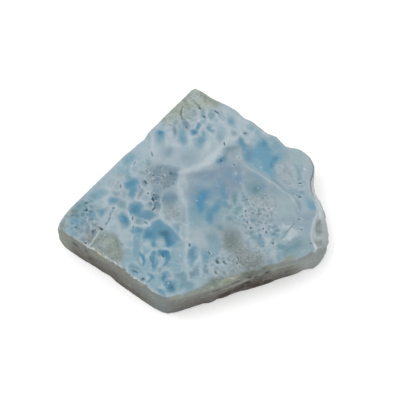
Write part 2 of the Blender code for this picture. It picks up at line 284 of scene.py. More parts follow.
# %% Make the net finer round the pits
SMALL_PITS = [
    (-13.9, 3.4, 1.1, 0.35, 0.25, -60), (-12.4, 7.7, 1.1, 0.35, 0.25, -50),
    (14.4, -7.5, 0.7, 0.35, 0.3, 80), (22.6, -5.0, 0.9, 0.4, 0.3, -10),
    (-7.2, 20.8, 1.5, 0.35, 0.25, -35), (-3.2, 20.1, 1.0, 0.4, 0.3, -50),
    (-8.2, -14.4, 1.0, 0.35, 0.3, -80), (8.5, -14.9, 1.5, 0.3, 0.3, -70),
    (8.3, -16.3, 0.7, 0.35, 0.25, 0), (-15.3, 10.0, 1.5, 0.3, 0.25, 65),
    (9.2, 11.6, 0.5, 0.4, 0.25, 0), (8.0, 9.5, 0.6, 0.4, 0.25, 0), (-10.9, 6.7, 0.6, 0.4, 0.3, 40),
    (14.3, -17.6, 0.9, 0.45, 0.3, 30), (16.5, -11.2, 0.8, 0.45, 0.3, 80),
    (7.0, -12.0, 0.5, 0.35, 0.2, 0), (-9.2, 8.7, 0.5, 0.35, 0.25, 0),
    (-13.4, 10.3, 0.7, 0.3, 0.2, 80), (13.3, -13.4, 0.6, 0.3, 0.25, 60),
    (12.2, -3.4, 0.5, 0.35, 0.25, 20), (13.4, -2.9, 0.5, 0.35, 0.25, -30),
    (14.6, -2.4, 0.5, 0.35, 0.25, 70), (15.8, -2.2, 0.4, 0.35, 0.25, 0),
    (25.0, -11.3, 0.7, 0.35, 0.25, -30), (17.3, -12.8, 0.4, 0.3, 0.2, 0),
    (-25.8, -11.1, 0.7, 0.4, 0.3, -35), (-26.2, -0.8, 0.5, 0.35, 0.25, 60),
    (-23.8, -7.9, 0.7, 0.4, 0.3, 60), (22.4, 1.3, 0.5, 0.3, 0.2, 40),
    (-9.8, 4.5, 0.5, 0.35, 0.2, 30), (-28.1, -7.2, 0.8, 0.4, 0.25, -10),
    (10.8, 0.1, 0.6, 0.35, 0.25, 0),
]
FINE_REACH = (0.45, 0.22)
PIT_STARTS = 0.06
PIT_ENDS = 1.0
PIT_FROM_RIM = 0.6
ALONG_PIT = (-0.4, -0.2, 0.0, 0.2, 0.4)


def plan_tree(spots):
    """A search tree over places seen from above."""
    tree = KDTree(len(spots))
    for i, (x, y) in enumerate(spots):
        tree.insert((x, y, 0.0), i)
    tree.balance()
    return tree


def find_pits(data, rim):
    spots = mesh_points(data)
    below = THICKNESS - spots[:, 2]
    low = spots[(below > PIT_STARTS) & (below < PIT_ENDS)]
    low = low[depth_inside(low[:, 0], low[:, 1], rim) > PIT_FROM_RIM][:, :2]
    for x, y, length, _, _, turn in SMALL_PITS:
        along = np.array([math.cos(math.radians(turn)), math.sin(math.radians(turn))])
        middle = np.array([x, y]) + MAP_MIDDLE
        line = [middle + along * length * part for part in ALONG_PIT]
        low = np.concatenate([low, line])
    return plan_tree(low)


def near_pit(points, tree):
    return np.array([tree.find((x, y, 0.0))[2] for x, y, _ in points])


def refine_round_pits(data, tree, reach):
    mesh = bmesh.new()
    mesh.from_mesh(data)
    top = [f for f in mesh.faces if f.calc_center_median().z > (THICKNESS - PIT_ENDS) * MM]
    places = [f.calc_center_median() / MM for f in top]
    gaps = near_pit([tuple(place) for place in places], tree)
    chosen = [face for face, gap in zip(top, gaps) if gap < reach]
    edges = list({edge for face in chosen for edge in face.edges})
    bmesh.ops.subdivide_edges(mesh, edges=edges, cuts=1, use_grid_fill=True)
    mesh.to_mesh(data)
    mesh.free()


pit_tree = find_pits(solid.data, solid_rim)
for reach in FINE_REACH:
    refine_round_pits(stone_mesh, pit_tree, reach)
print("with finer pits:", len(stone_mesh.vertices), "points")

# %% [markdown]
# Each point now settles on the solid. The top is as flat as polish leaves it, so a ray from
# above finds its true height, pits included. The sides take the nearest place on the solid.

# %% Settle the net on the solid
TOP_LAYER = 1.2
RAY_FROM_RIM = 0.25
FACE_FROM_RIM = 0.1


def solid_tree(node):
    mesh = bmesh.new()
    mesh.from_mesh(node.data)
    tree = BVHTree.FromBMesh(mesh)
    mesh.free()
    return tree


def settle(points, tree, inside):
    down = Vector((0.0, 0.0, -1.0))
    for i, point in enumerate(points):
        place = Vector(point) * MM
        if inside[i] > RAY_FROM_RIM and point[2] > THICKNESS - TOP_LAYER:
            above = Vector((place.x, place.y, 2.0 * THICKNESS * MM))
            found = tree.ray_cast(above, down)[0]
        else:
            found = tree.find_nearest(place)[0]
        points[i] = np.array(found[:]) / MM
    return points


points = mesh_points(stone_mesh)
inside = depth_inside(points[:, 0], points[:, 1], solid_rim)
points = settle(points, solid_tree(solid), inside)
on_face = (inside > FACE_FROM_RIM) & (points[:, 2] > THICKNESS - TOP_LAYER)
map_x = points[:, 0] - MAP_MIDDLE[0]
map_y = points[:, 1] - MAP_MIDDLE[1]
print("points on the polished face:", int(on_face.sum()))

# %% [markdown]
# The small pits are gas holes that the saw opened, so each is a bowl with a ragged rim. They
# could be cut with a Boolean, but moving the fine net's points down is quicker and keeps their
# rims ragged. All pits are then made a third shallower, because deep ones look too dark.

# %% Sink the small pits
PIT_RAGGED = 0.22
PIT_MOUTH = 1.25
PIT_FILLING = 0.35


def sink_small_pits(points):
    wander = PIT_RAGGED * cloud(points * (1.0, 1.0, 0.0), 0.45, 3.1)
    for x, y, length, width, depth, turn in SMALL_PITS:
        mouth = (x, y, PIT_MOUTH * length, PIT_MOUTH * width, turn)
        bowl = 1.0 - fade(across(map_x, map_y, mouth) + wander, 0.25, 1.0)
        points[:, 2] -= depth * bowl * on_face
    return points


points = sink_small_pits(points)
points[:, 2] += PIT_FILLING * np.maximum(THICKNESS - points[:, 2], 0.0) * on_face
pit_depth = np.where(on_face, THICKNESS - points[:, 2], 0.0)
print("deepest pit, mm:", round(float(pit_depth.max()), 2))

# %% [markdown]
# The slab has two kinds of side. The saw made the front and the left side flat, and the right
# side is a break. Which kind a point is on follows from the way it faces, and that is read off
# the rim: the rim points on both sides of the nearest one give the direction.

# %% Tell the broken sides from the sawn ones
def side_directions(points):
    """Which way each point of the side faces, seen from above."""
    along = np.roll(solid_rim, -2, axis=0) - np.roll(solid_rim, 2, axis=0)
    outward = np.stack([along[:, 1], -along[:, 0]], axis=1)
    outward /= np.linalg.norm(outward, axis=1)[:, None]
    tree = plan_tree(solid_rim)
    nearest = [tree.find((x, y, 0.0))[1] for x, y, _ in points]
    return outward[nearest]


outward = side_directions(points)
faces_back_right = fade(outward[:, 0] * 0.66 + outward[:, 1] * 0.75, 0.72, 0.9)
faces_right = fade(outward[:, 0], 0.82, 0.95)
broken = np.maximum(faces_back_right, faces_right)
print("points on broken sides:", int((broken > 0.5).sum()))

# %% [markdown]
# The broken side is rough all over, and the sawn ones keep the saw's fine ripple. The saw also
# leaves a sharp rim, and handling breaks tiny chips out of it. Along the rim the points are
# lowered where a cloud passes a limit, so that chips come in groups, most of them at the
# front left. Nothing may stand out of the solid's box, so the points are held inside it.

# %% Roughen the sides and chip the rim
CHIP_WIDTH = 0.75
CHIP_DEPTH = 0.3
CHIP_LAYER = 1.6
SIDE_FROM_RIM = 0.2


def chip_rim(points):
    near = (1.0 - fade(np.abs(inside), 0.1, CHIP_WIDTH)) * (points[:, 2] > THICKNESS - CHIP_LAYER)
    lumps = cloud(points, 1.1, 8.4) + 0.6 * cloud(points, 0.45, 1.9)
    front_left = fade(map_y, -4.0, -8.0) * fade(map_x, -6.0, -9.0)
    bite = fade(lumps, 0.05, 0.55) * (0.35 + 0.65 * front_left)
    points[:, 2] -= CHIP_DEPTH * near * bite
    return points


upright = fade(points[:, 2], 0.0, 0.7) * fade(THICKNESS - points[:, 2], 0.05, 0.9)
rough = 0.30 * cloud(points, 1.6, 5.2) + 0.16 * cloud(points, 0.6, 6.6)
saw_ripple = 0.03 * cloud(points * (0.25, 0.25, 4.0), 1.0, 2.2)
push = upright * (broken * (rough - 0.1) + (1.0 - broken) * (saw_ripple + 0.15 * rough))
points[:, :2] += outward * (push * (inside < SIDE_FROM_RIM))[:, None]
points = chip_rim(points)
lowest, highest = np.array(solid_box) / MM
points = np.clip(points, lowest, highest)
stone_mesh.vertices.foreach_set("co", (points * MM).ravel())
stone_mesh.update()
print("roughened points:", int((np.abs(push) > 0.02).sum()))

# %% [markdown]
# The finishes of the stone, by the names a polisher might use. Each colour is what the eye
# sees on the lit stone, in the usual 0 to 255 steps. The markings are brushed on in this
# measure, because it follows the eye, and turned into light at the end.

# %% Name the stone's colours
COLOURS = {
    "ground": (158, 175, 183), "granular grey": (152, 165, 170), "iron grey": (121, 129, 129),
    "milky": (172, 187, 195), "white": (186, 198, 204), "bright": (206, 214, 217),
    "soft white": (171, 184, 191), "pale blue": (160, 181, 191), "pale turquoise": (147, 173, 184),
    "turquoise": (130, 163, 177), "soft turquoise": (142, 165, 174), "teal": (117, 148, 159),
    "dark teal": (90, 122, 134), "cyan": (110, 157, 179), "blue": (102, 146, 168),
    "deep blue": (82, 133, 161), "dark blue": (72, 110, 133), "core blue": (88, 142, 175),
    "periwinkle": (120, 150, 171), "lavender": (135, 155, 171), "mauve": (130, 150, 165),
    "slate": (111, 136, 150), "soft slate": (139, 160, 170), "pale sage": (172, 181, 175),
    "sage": (137, 150, 146), "dark sage": (113, 128, 125), "green": (108, 122, 110),
    "olive": (142, 149, 137), "grey": (135, 144, 145), "cool grey": (137, 149, 154),
    "stone grey": (150, 162, 167), "sage turquoise": (157, 178, 182), "dark": (68, 92, 104),
}


def to_array(name):
    return np.array(COLOURS[name], float)


def lay(paint, name, cover):
    """Lay a colour over the paint; the cover, from 0 to 1, says how thickly at each point."""
    return paint + (to_array(name) - paint) * cover[:, None]


print("colours:", len(COLOURS))

# %% [markdown]
# Nothing in a stone has a drawn edge. So the map is bent before anything is brushed on it, by
# clouds of three sizes, and what is drawn as an oval comes out as a grain. The same markings
# colour the underside, since the cells run through the slab, but there the saw left them dull.
# The ground below all of them is a pale grey blue, lighter and darker in slow clouds.

# %% Bend the map and lay the ground
WARP = ((2.6, 0.34, 11.0), (0.9, 0.17, 17.0), (0.42, 0.07, 19.0))
GROUND_TONE = 0.4


def as_points(x, y):
    return np.column_stack([x, y, np.zeros(len(x))])


flat = as_points(map_x, map_y)
bent_x, bent_y = map_x.copy(), map_y.copy()
for size, reach, seed in WARP:
    bent_x += reach * cloud(flat, size, seed)
    bent_y += reach * cloud(flat, size, seed + 5.0)
fine = cloud(flat, 0.55, 23.0)
slow = cloud(flat, 3.4, 29.0)
middle = cloud(flat, 1.3, 31.0)
patchy = cloud(flat, 2.2, 37.0)
paint = np.tile(to_array("ground"), (len(flat), 1))
paint = lay(paint, "soft white", GROUND_TONE * fade(slow + 0.5 * middle, 0.0, 0.6))
paint = lay(paint, "soft slate", GROUND_TONE * fade(-slow - 0.5 * middle, 0.0, 0.6))
print("map bent by up to, mm:", round(float(np.abs(bent_x - map_x).max()), 2))

# %% [markdown]
# First come the washes: broad fields of colour with soft edges, each drawn as a colour, its
# strength, how soft its edge is, and its outline. They stand for whole regions of the stone,
# such as the sage tip, the grey speckled matrix, or the lavender heart round the blue core.

# %% Draw and lay the washes
WASHES = [
    ("milky", 0.9, 1.8, [
        (-13, 17), (-10.5, 21.5), (-7, 21.2), (-1, 22.5), (1, 24.8), (5, 26.5), (9, 24), (13, 21),
        (17, 18.5), (13, 16), (8.5, 18), (5, 15.5), (2, 12), (-1, 9.5), (-4.5, 8.3), (-8, 10.5),
        (-11, 11), (-12.5, 13),
    ]),
    ("turquoise", 1.0, 2.0, [
        (-15.5, -8.5), (-12, -6.5), (-9, -5), (-4.5, -9), (-3.4, -16), (-2, -25), (-7, -26),
        (-17, -18.5), (-16, -12.5),
    ]),
    ("turquoise", 0.5, 1.8, [
        (-1.5, -12.5), (1, -12.5), (4, -11), (5.5, -15), (3, -20), (-1, -23), (-4, -22),
    ]),
    ("teal", 0.6, 1.8, [
        (-31, -9), (-28, -2), (-26, 2), (-22.5, 2), (-22, -2), (-24, -6), (-27, -10),
    ]),
    ("pale blue", 0.8, 1.8, [
        (-27, 0.5), (-19, 11), (-12, 20), (-12, 12), (-15, 7), (-20, 1), (-24, -2),
    ]),
    ("soft turquoise", 0.7, 1.5, [
        (-2.6, 2), (2, 4), (9, 3), (11, -3), (9, -8), (3, -8), (-2.4, -7.5),
    ]),
    ("soft turquoise", 0.6, 1.8, [
        (14.5, -8), (18, -7), (18.5, -15.5), (14, -16.5), (11, -12), (9.5, -8.5),
    ]),
    ("soft white", 0.45, 1.4, [
        (-2.8, -7.5), (1.2, -7.4), (1.6, -11.0), (0.6, -12.8), (-2.4, -11.8),
    ]),
    ("sage turquoise", 0.9, 1.4, [(20, 14.5), (23, 14.5), (27, 12), (27, 8), (23, 9), (20.5, 11)]),
    ("sage", 0.85, 1.3, [(-33, -8), (-27.0, 1.0), (-25.8, -0.5), (-27.0, -2.5), (-29.8, -5.0)]),
    ("pale sage", 1.0, 1.3, [
        (-1.1, 32.5), (-5, 29), (-9.8, 22.7), (-8.6, 21.2), (-5.0, 21.2), (-2.6, 22.2), (-1, 24.8),
        (1.8, 25.2), (4.2, 26.2), (5, 28), (1, 31),
    ]),
    ("milky", 0.65, 1.0, [
        (-22.4, -3.0), (-19.4, -4.8), (-18.6, -7.0), (-16.2, -7.2), (-15.6, -8.5), (-15.4, -11),
        (-16.2, -13), (-17.6, -11.4), (-19.2, -8.8), (-21.2, -8.2),
    ]),
    ("slate", 0.45, 1.2, [
        (-12.2, 7.8), (-10.8, 8.6), (-8.5, 8.9), (-5, 8.2), (-4.7, 6), (-6.2, 4), (-8, 3), (-10, 3),
        (-12.0, 4.3), (-12.6, 5.8),
    ]),
    ("lavender", 0.9, 1.6, [
        (-2, 8), (3, 9), (6, 10.5), (9.5, 9.8), (11, 8), (11, 4.5), (8, 1.5), (4, 0), (-2, 0),
        (-3.5, 2.5), (-2.8, 5.5),
    ]),
    ("granular grey", 0.95, 1.4, [
        (11.3, 1), (13, 1.2), (15.5, 0.9), (17.5, -0.5), (17.2, -3.5), (16.3, -6.2), (14.3, -8.3),
        (12.4, -8.3), (10.8, -7.3), (9.6, -5), (10.3, -3), (11, -1.2),
    ]),
    ("grey", 0.55, 2.2, [
        (4.6, -7.4), (8.5, -7.0), (10.6, -9.5), (11.0, -12.5), (14.6, -14.0), (14.6, -17.4),
        (12, -18.6), (8, -19.7), (5, -20.4), (5.2, -16), (4.0, -12.5),
    ]),
    ("grey", 0.6, 1.6, [
        (8, -13.2), (10, -12.8), (13, -13.4), (14.2, -15), (13.6, -17.4), (11, -18.6), (8, -19.4),
        (7, -17),
    ]),
    ("soft slate", 0.7, 1.6, [
        (11, 8.5), (14, 6.6), (17, 4.2), (19.5, 1.5), (17, 0.5), (15, 2), (12, 2), (10.4, 4),
        (10.4, 7),
    ]),
    ("sage turquoise", 0.5, 1.6, [
        (16.5, 0.5), (19.5, 1.2), (21.5, -1.5), (22.2, -4.2), (18, -5.8), (16.6, -3),
    ]),
    ("lavender", 0.5, 1.4, [
        (17, -5), (22, -4), (25.6, -3.2), (26.3, -5), (25.2, -8), (24.6, -10), (22.8, -7.5),
        (20.5, -6), (17.3, -6.4),
    ]),
    ("turquoise", 0.85, 1.5, [
        (15.8, 16.8), (17.8, 17.8), (19.2, 15.8), (20, 14.6), (20, 12.2), (19.6, 10.8), (18.4, 12),
        (16.6, 13.2),
    ]),
    ("cyan", 0.9, 1.2, [
        (10.6, 11.4), (11.4, 13.6), (13, 15.0), (14, 16.6), (15.2, 16.8), (15.8, 15.4),
        (16.4, 13.6), (17.2, 12.4), (18.6, 11.9), (19.2, 10.9), (18.4, 10), (17.9, 8.6), (18.0, 7),
        (18.9, 5.8), (18.7, 4.6), (16.6, 6.0), (15, 7.2), (13, 8.6), (11.4, 9.9),
    ]),
    ("olive", 0.25, 0.9, [
        (-8.8, 22.4), (-5.6, 26.8), (-2.6, 30.4), (-2.6, 28.0), (-4.8, 24.4), (-6.6, 22.2),
    ]),
    ("olive", 0.35, 1.0, [(0.4, 30.4), (4.8, 27.6), (4.2, 26.4), (1.4, 27.2), (0.2, 28.6)]),
    ("milky", 0.5, 0.9, [
        (9.8, 19), (12.3, 18.4), (13.4, 16.8), (12.8, 15), (11, 14.8), (10.8, 16.5),
    ]),
    ("soft turquoise", 0.8, 1.0, [
        (22.8, -9.9), (25, -10.6), (25.8, -12.8), (24.5, -13.8), (22, -15), (19, -15.3),
        (18, -14.3), (19, -12.8), (20.8, -11.2),
    ]),
    ("teal", 0.7, 1.0, [
        (18.4, -12.6), (20.0, -11.7), (22.4, -10.4), (23.0, -11.6), (21.0, -13.4), (18.6, -14.4),
    ]),
    ("sage", 0.9, 1.1, [
        (-23.2, -8.5), (-21.5, -8.4), (-20, -8.6), (-18.6, -10.1), (-17.8, -12), (-17.2, -13.6),
        (-17.4, -15.6), (-18.6, -16.8), (-21, -15.6), (-25.2, -12.6), (-24.2, -10.4),
    ]),
    ("grey", 0.8, 0.9, [
        (-24.9, -5.6), (-23.2, -5.8), (-22.4, -7.4), (-23.5, -9.3), (-25, -11.7), (-26.6, -10.9),
        (-25.6, -8.6),
    ]),
    ("slate", 0.65, 1.0, [
        (-14, -3), (-12, -2.8), (-10.3, -2.8), (-10, -4.2), (-11.5, -5.2), (-13.5, -5.7),
        (-14.3, -4.5),
    ]),
    ("sage", 0.6, 1.0, [(-0.2, -23.2), (0.8, -21.6), (5, -20.2), (8.5, -19.4), (9, -21), (3, -23)]),
]
for name, strength, soft, outline in WASHES:
    depth = depth_inside(bent_x, bent_y, outline) + 0.25 * soft * middle
    paint = lay(paint, name, strength * fade(depth, -soft, soft))
print("washes:", len(WASHES))

# %% [markdown]
# Between the large cells lies lace: a foam of cells about a millimetre wide, too many to draw.
# Its cells are the places nearest to the points of a shaken grid, which is how bubbles of one
# size share their room. Each row says how wide the cells are, of which two colours they are
# made, filling and walls, how strong they are, and in which ovals they lie. The lace is laid
# twice: here below the large cells, and thinly over them later.

# %% Draw and lay the lace
LACE = [
    (1.15, "dark teal", "pale turquoise", 0.8, [
        (-27.0, -4.0, 8.5, 8.5, 0), (-27.0, -1.0, 5.6, 3.6, 40),
    ]),
    (1.0, "grey", "stone grey", 0.9, [(-25.4, -8.6, 4.6, 5.6, -20)]),
    (0.95, "cool grey", "milky", 0.9, [(13.6, -3.0, 8.5, 10.0, -10), (20.0, 7.0, 5.5, 7.5, 0)]),
    (1.0, "teal", "pale blue", 0.7, [(9.5, -2.4, 6.0, 9.0, -10), (-2.0, -17.6, 9.0, 6.0, 10)]),
    (1.15, "teal", "pale blue", 0.9, [(15.5, -9.0, 9.0, 9.5, -30), (4.5, -16.5, 8.0, 8.0, 0)]),
    (0.9, "dark sage", "stone grey", 0.6, [
        (10.0, -14.5, 11.0, 8.5, -15), (6.0, -19.0, 9.0, 4.0, 15),
    ]),
    (1.1, "dark sage", "pale sage", 0.5, [(-1.5, 27.0, 12.0, 9.0, 30)]),
    (0.8, "dark sage", "pale sage", 0.55, [(-20.5, -12.8, 8.5, 6.5, -30)]),
    (1.35, "slate", "soft white", 0.75, [(13.5, -7.0, 8.0, 14.5, -10), (4.0, -17.5, 6.0, 6.0, 0)]),
    (0.9, "slate", "stone grey", 1.0, [(-9.2, 6.0, 9.0, 6.5, -10), (-10.5, 0.4, 4.5, 5.5, 0)]),
    (1.0, "cool grey", "soft white", 0.7, [(-6.3, -3.2, 4.6, 4.2, 0), (-19.0, 4.5, 3.4, 6.0, 0)]),
    (1.3, "turquoise", "milky", 0.6, [(1.5, 22.5, 15.0, 6.5, -8), (23.5, 5.5, 3.6, 12.0, 0)]),
    (1.2, "turquoise", "pale blue", 0.5, [
        (-9.0, -19.5, 12.0, 7.0, -20), (-17.0, 9.0, 7.0, 7.0, 40),
    ]),
]
LACE_SHAKE = 1.1


def lace(flat, size, seed):
    """Room to the nearest wall, in cell sizes, and each cell's own chance from 0 to 1."""
    grid = []
    for row in np.arange(-27.0, 34.0, size):
        for column in np.arange(-34.0, 30.0, size):
            shake = noise.noise_vector(Vector((column, row, seed)) * 0.91)
            grid.append((column + LACE_SHAKE * size * shake.x, row + LACE_SHAKE * size * shake.y))
    tree = plan_tree(grid)
    chance = np.abs(np.sin(np.arange(len(grid)) * 12.9898 + seed))
    room, own = np.empty(len(flat)), np.empty(len(flat))
    for i, point in enumerate(flat):
        (_, which, near), (_, _, far) = tree.find_n(point, 2)
        room[i] = (far - near) / size
        own[i] = chance[which]
    return room, own


def lay_lace(paint, filled, walled, room_from, chance_from, wall_to):
    """Lay every zone of lace, with how strong its fillings and its walls are."""
    for here, filling, wall, room, own, share in laces:
        cover = filled * share * fade(room, room_from, 0.6) * fade(own, chance_from, 0.9)
        part = lay(paint[here], filling, cover)
        paint[here] = lay(part, wall, walled * share * (1.0 - fade(room, 0.05, wall_to)))
    return paint


laces = []
bent = as_points(bent_x, bent_y)
for number, (size, filling, wall, strength, ovals) in enumerate(LACE):
    zones = [1.0 - fade(across(bent_x, bent_y, oval), 0.5, 1.25) for oval in ovals]
    zone = np.max(zones, axis=0)
    here = np.flatnonzero(zone > 0.0)
    room, own = lace(bent[here], size, 3.0 + number)
    laces.append((here, filling, wall, room, own, strength * zone[here]))
paint = lay_lace(paint, 0.75, 0.6, 0.1, 0.1, 0.4)
print("zones of lace:", len(LACE))

# %% [markdown]
# Then the cells. Each was a mineral grain or a gas bubble, cut through by the saw, so ovals
# stand for them: place, length, width and turn on the map, and how strong the colour is. A
# ring is a coloured oval with a paler one laid over it. The upper ones lie round the sage tip
# and in the foam below it. Drawing them one by one takes long, but no noise gives these shapes.

# %% Draw the upper cells
UPPER_CELLS = [
    ("dark sage", [
        (2.8, 27.6, 4.8, 1.5, -35, 0.3), (-3.1, 24.2, 3.4, 2.4, 75, 0.6),
        (-3.4, 27.4, 2.8, 0.8, -60, 0.4), (-2.5, 29.6, 2.8, 0.9, 55, 0.3),
        (-0.4, 25.7, 1.2, 0.8, 0, 0.35),
    ]),
    ("sage", [(-6.3, 22.0, 3.4, 1.8, 30, 0.6)]),
    ("olive", [
        (-7.0, 24.3, 5.2, 1.7, 50, 0.4), (-8.4, 22.8, 1.8, 1.4, 40, 0.5),
        (-5.2, 25.4, 1.5, 2.8, 0, 0.3), (0.6, 29.6, 1.8, 1.0, -40, 0.3),
    ]),
    ("soft white", [
        (-9.8, 10.2, 4.4, 2.0, 20, 0.45), (-1.2, 28.6, 3.4, 1.8, -60, 0.6),
        (-5.4, 22.5, 2.0, 1.4, 30, 0.3), (-0.4, 23.4, 0.9, 2.6, 0, 0.6),
    ]),
    ("teal", [
        (0.9, 23.9, 1.2, 3.0, 8, 0.55), (2.8, 23.7, 1.5, 3.0, 12, 0.5),
        (4.2, 24.4, 1.0, 2.8, 48, 0.5), (0.9, 21.7, 1.4, 1.4, 0, 0.4),
        (2.1, 20.0, 1.3, 2.4, -8, 0.65), (3.0, 18.9, 1.6, 1.2, -20, 0.5),
        (4.6, 17.2, 2.2, 3.2, 10, 0.5), (8.2, 18.2, 1.1, 2.2, 25, 0.4),
        (-12.2, 17.3, 0.8, 2.6, 10, 0.35), (-12.2, 10.1, 1.6, 2.2, 20, 0.5),
        (-5.8, 21.6, 1.4, 1.2, 60, 0.35),
    ]),
    ("pale turquoise", [
        (5.0, 18.6, 2.4, 4.4, 5, 0.5), (5.6, 23.3, 1.5, 4.2, 42, 0.7),
        (-13.9, 14.2, 2.4, 3.8, -40, 0.3), (-12.3, 12.4, 1.2, 3.8, 8, 0.5),
        (1.3, 17.6, 1.6, 3.0, 0, 0.4), (-18.6, 8.2, 1.8, 2.4, -35, 0.5),
        (-2.6, 13.6, 5.0, 2.4, 10, 0.5),
    ]),
    ("milky", [
        (-11.2, 13.2, 5.0, 5.6, -30, 0.8), (-13.6, 14.4, 3.4, 3.4, 0, 0.7),
        (-7.0, 18.6, 1.4, 2.4, 0, 0.3), (-14.4, 6.4, 1.6, 1.8, 0, 0.3),
    ]),
    ("cyan", [(-16.8, 10.8, 2.4, 4.2, -38, 0.6)]),
    ("turquoise", [
        (12.1, 20.2, 1.7, 2.8, 40, 0.8), (13.9, 18.3, 1.4, 3.0, 12, 0.7),
        (-16.7, 11.0, 2.4, 3.8, -38, 0.85), (-17.2, 8.0, 1.3, 2.8, -20, 0.6),
        (-0.1, 15.8, 2.9, 4.0, -15, 0.9), (-9.4, 17.0, 3.0, 4.6, 0, 0.85),
        (-4.3, 16.6, 2.0, 2.6, 5, 0.6), (7.6, 21.9, 2.0, 4.2, 22, 0.6),
    ]),
    ("blue", [
        (7.6, 21.9, 1.2, 2.4, 22, 0.6), (-9.4, 18.5, 2.2, 2.8, 0, 0.75),
        (-4.3, 17.6, 2.4, 5.4, 10, 0.5), (0.4, 17.0, 1.6, 3.4, -10, 0.55),
        (9.7, 15.7, 1.8, 3.2, 12, 0.9), (10.7, 14.9, 2.4, 1.5, -20, 0.75),
        (2.2, 19.4, 2.8, 1.0, -50, 0.6), (0.8, 18.8, 1.0, 1.8, 0, 0.4),
    ]),
    ("deep blue", [
        (-9.3, 18.7, 1.3, 1.4, 0, 0.85), (-1.3, 18.7, 2.3, 1.8, 15, 0.9),
        (-0.4, 20.4, 1.1, 2.6, -20, 0.8), (9.9, 15.4, 0.8, 1.2, 0, 0.3),
    ]),
    ("slate", [
        (-6.2, 19.3, 1.2, 3.2, 6, 0.8), (-3.4, 20.7, 1.8, 3.2, 25, 0.85),
        (10.7, 18.4, 1.3, 1.1, 0, 0.5), (-5.0, 20.6, 0.8, 1.4, 0, 0.3),
    ]),
    ("soft slate", [
        (-7.5, 13.1, 3.0, 3.2, 0, 0.8), (-2.8, 11.4, 4.8, 3.4, 20, 0.7),
        (7.6, 13.9, 4.4, 2.0, 15, 0.75), (7.4, 12.2, 3.2, 2.4, 0, 0.45),
    ]),
    ("slate", [
        (-7.4, 12.9, 1.4, 1.8, 0, 0.2), (7.4, 14.1, 2.8, 1.0, 10, 0.5),
        (8.8, 18.1, 0.6, 1.4, 40, 0.5),
    ]),
    ("white", [
        (-7.9, 16.6, 0.9, 5.4, 0, 0.6), (-11.3, 15.6, 1.1, 5.6, 5, 0.6),
        (-6.2, 15.0, 3.6, 1.2, 0, 0.5), (-2.4, 16.2, 1.0, 4.2, -4, 0.6),
        (1.9, 15.0, 1.4, 3.6, 0, 0.6), (10.8, 21.7, 3.4, 1.6, -40, 0.7),
        (15.6, 18.3, 2.6, 0.9, -45, 0.8), (9.5, 12.6, 1.0, 2.8, 0, 0.2),
        (-17.6, 13.6, 4.0, 0.9, 42, 0.3), (6.6, 17.4, 1.6, 1.6, 0, 0.5),
        (6.2, 25.0, 2.6, 1.2, -40, 0.4), (-8.0, 20.4, 1.0, 1.6, 0, 0.2),
    ]),
]
print("upper cells:", sum(len(rows) for _, rows in UPPER_CELLS))

# %% [markdown]
# The middle holds the blue core in its lavender heart, and the slate cells left of it. Dark
# ovals come first and brighter ones are laid into them, as the blue deepens inwards.

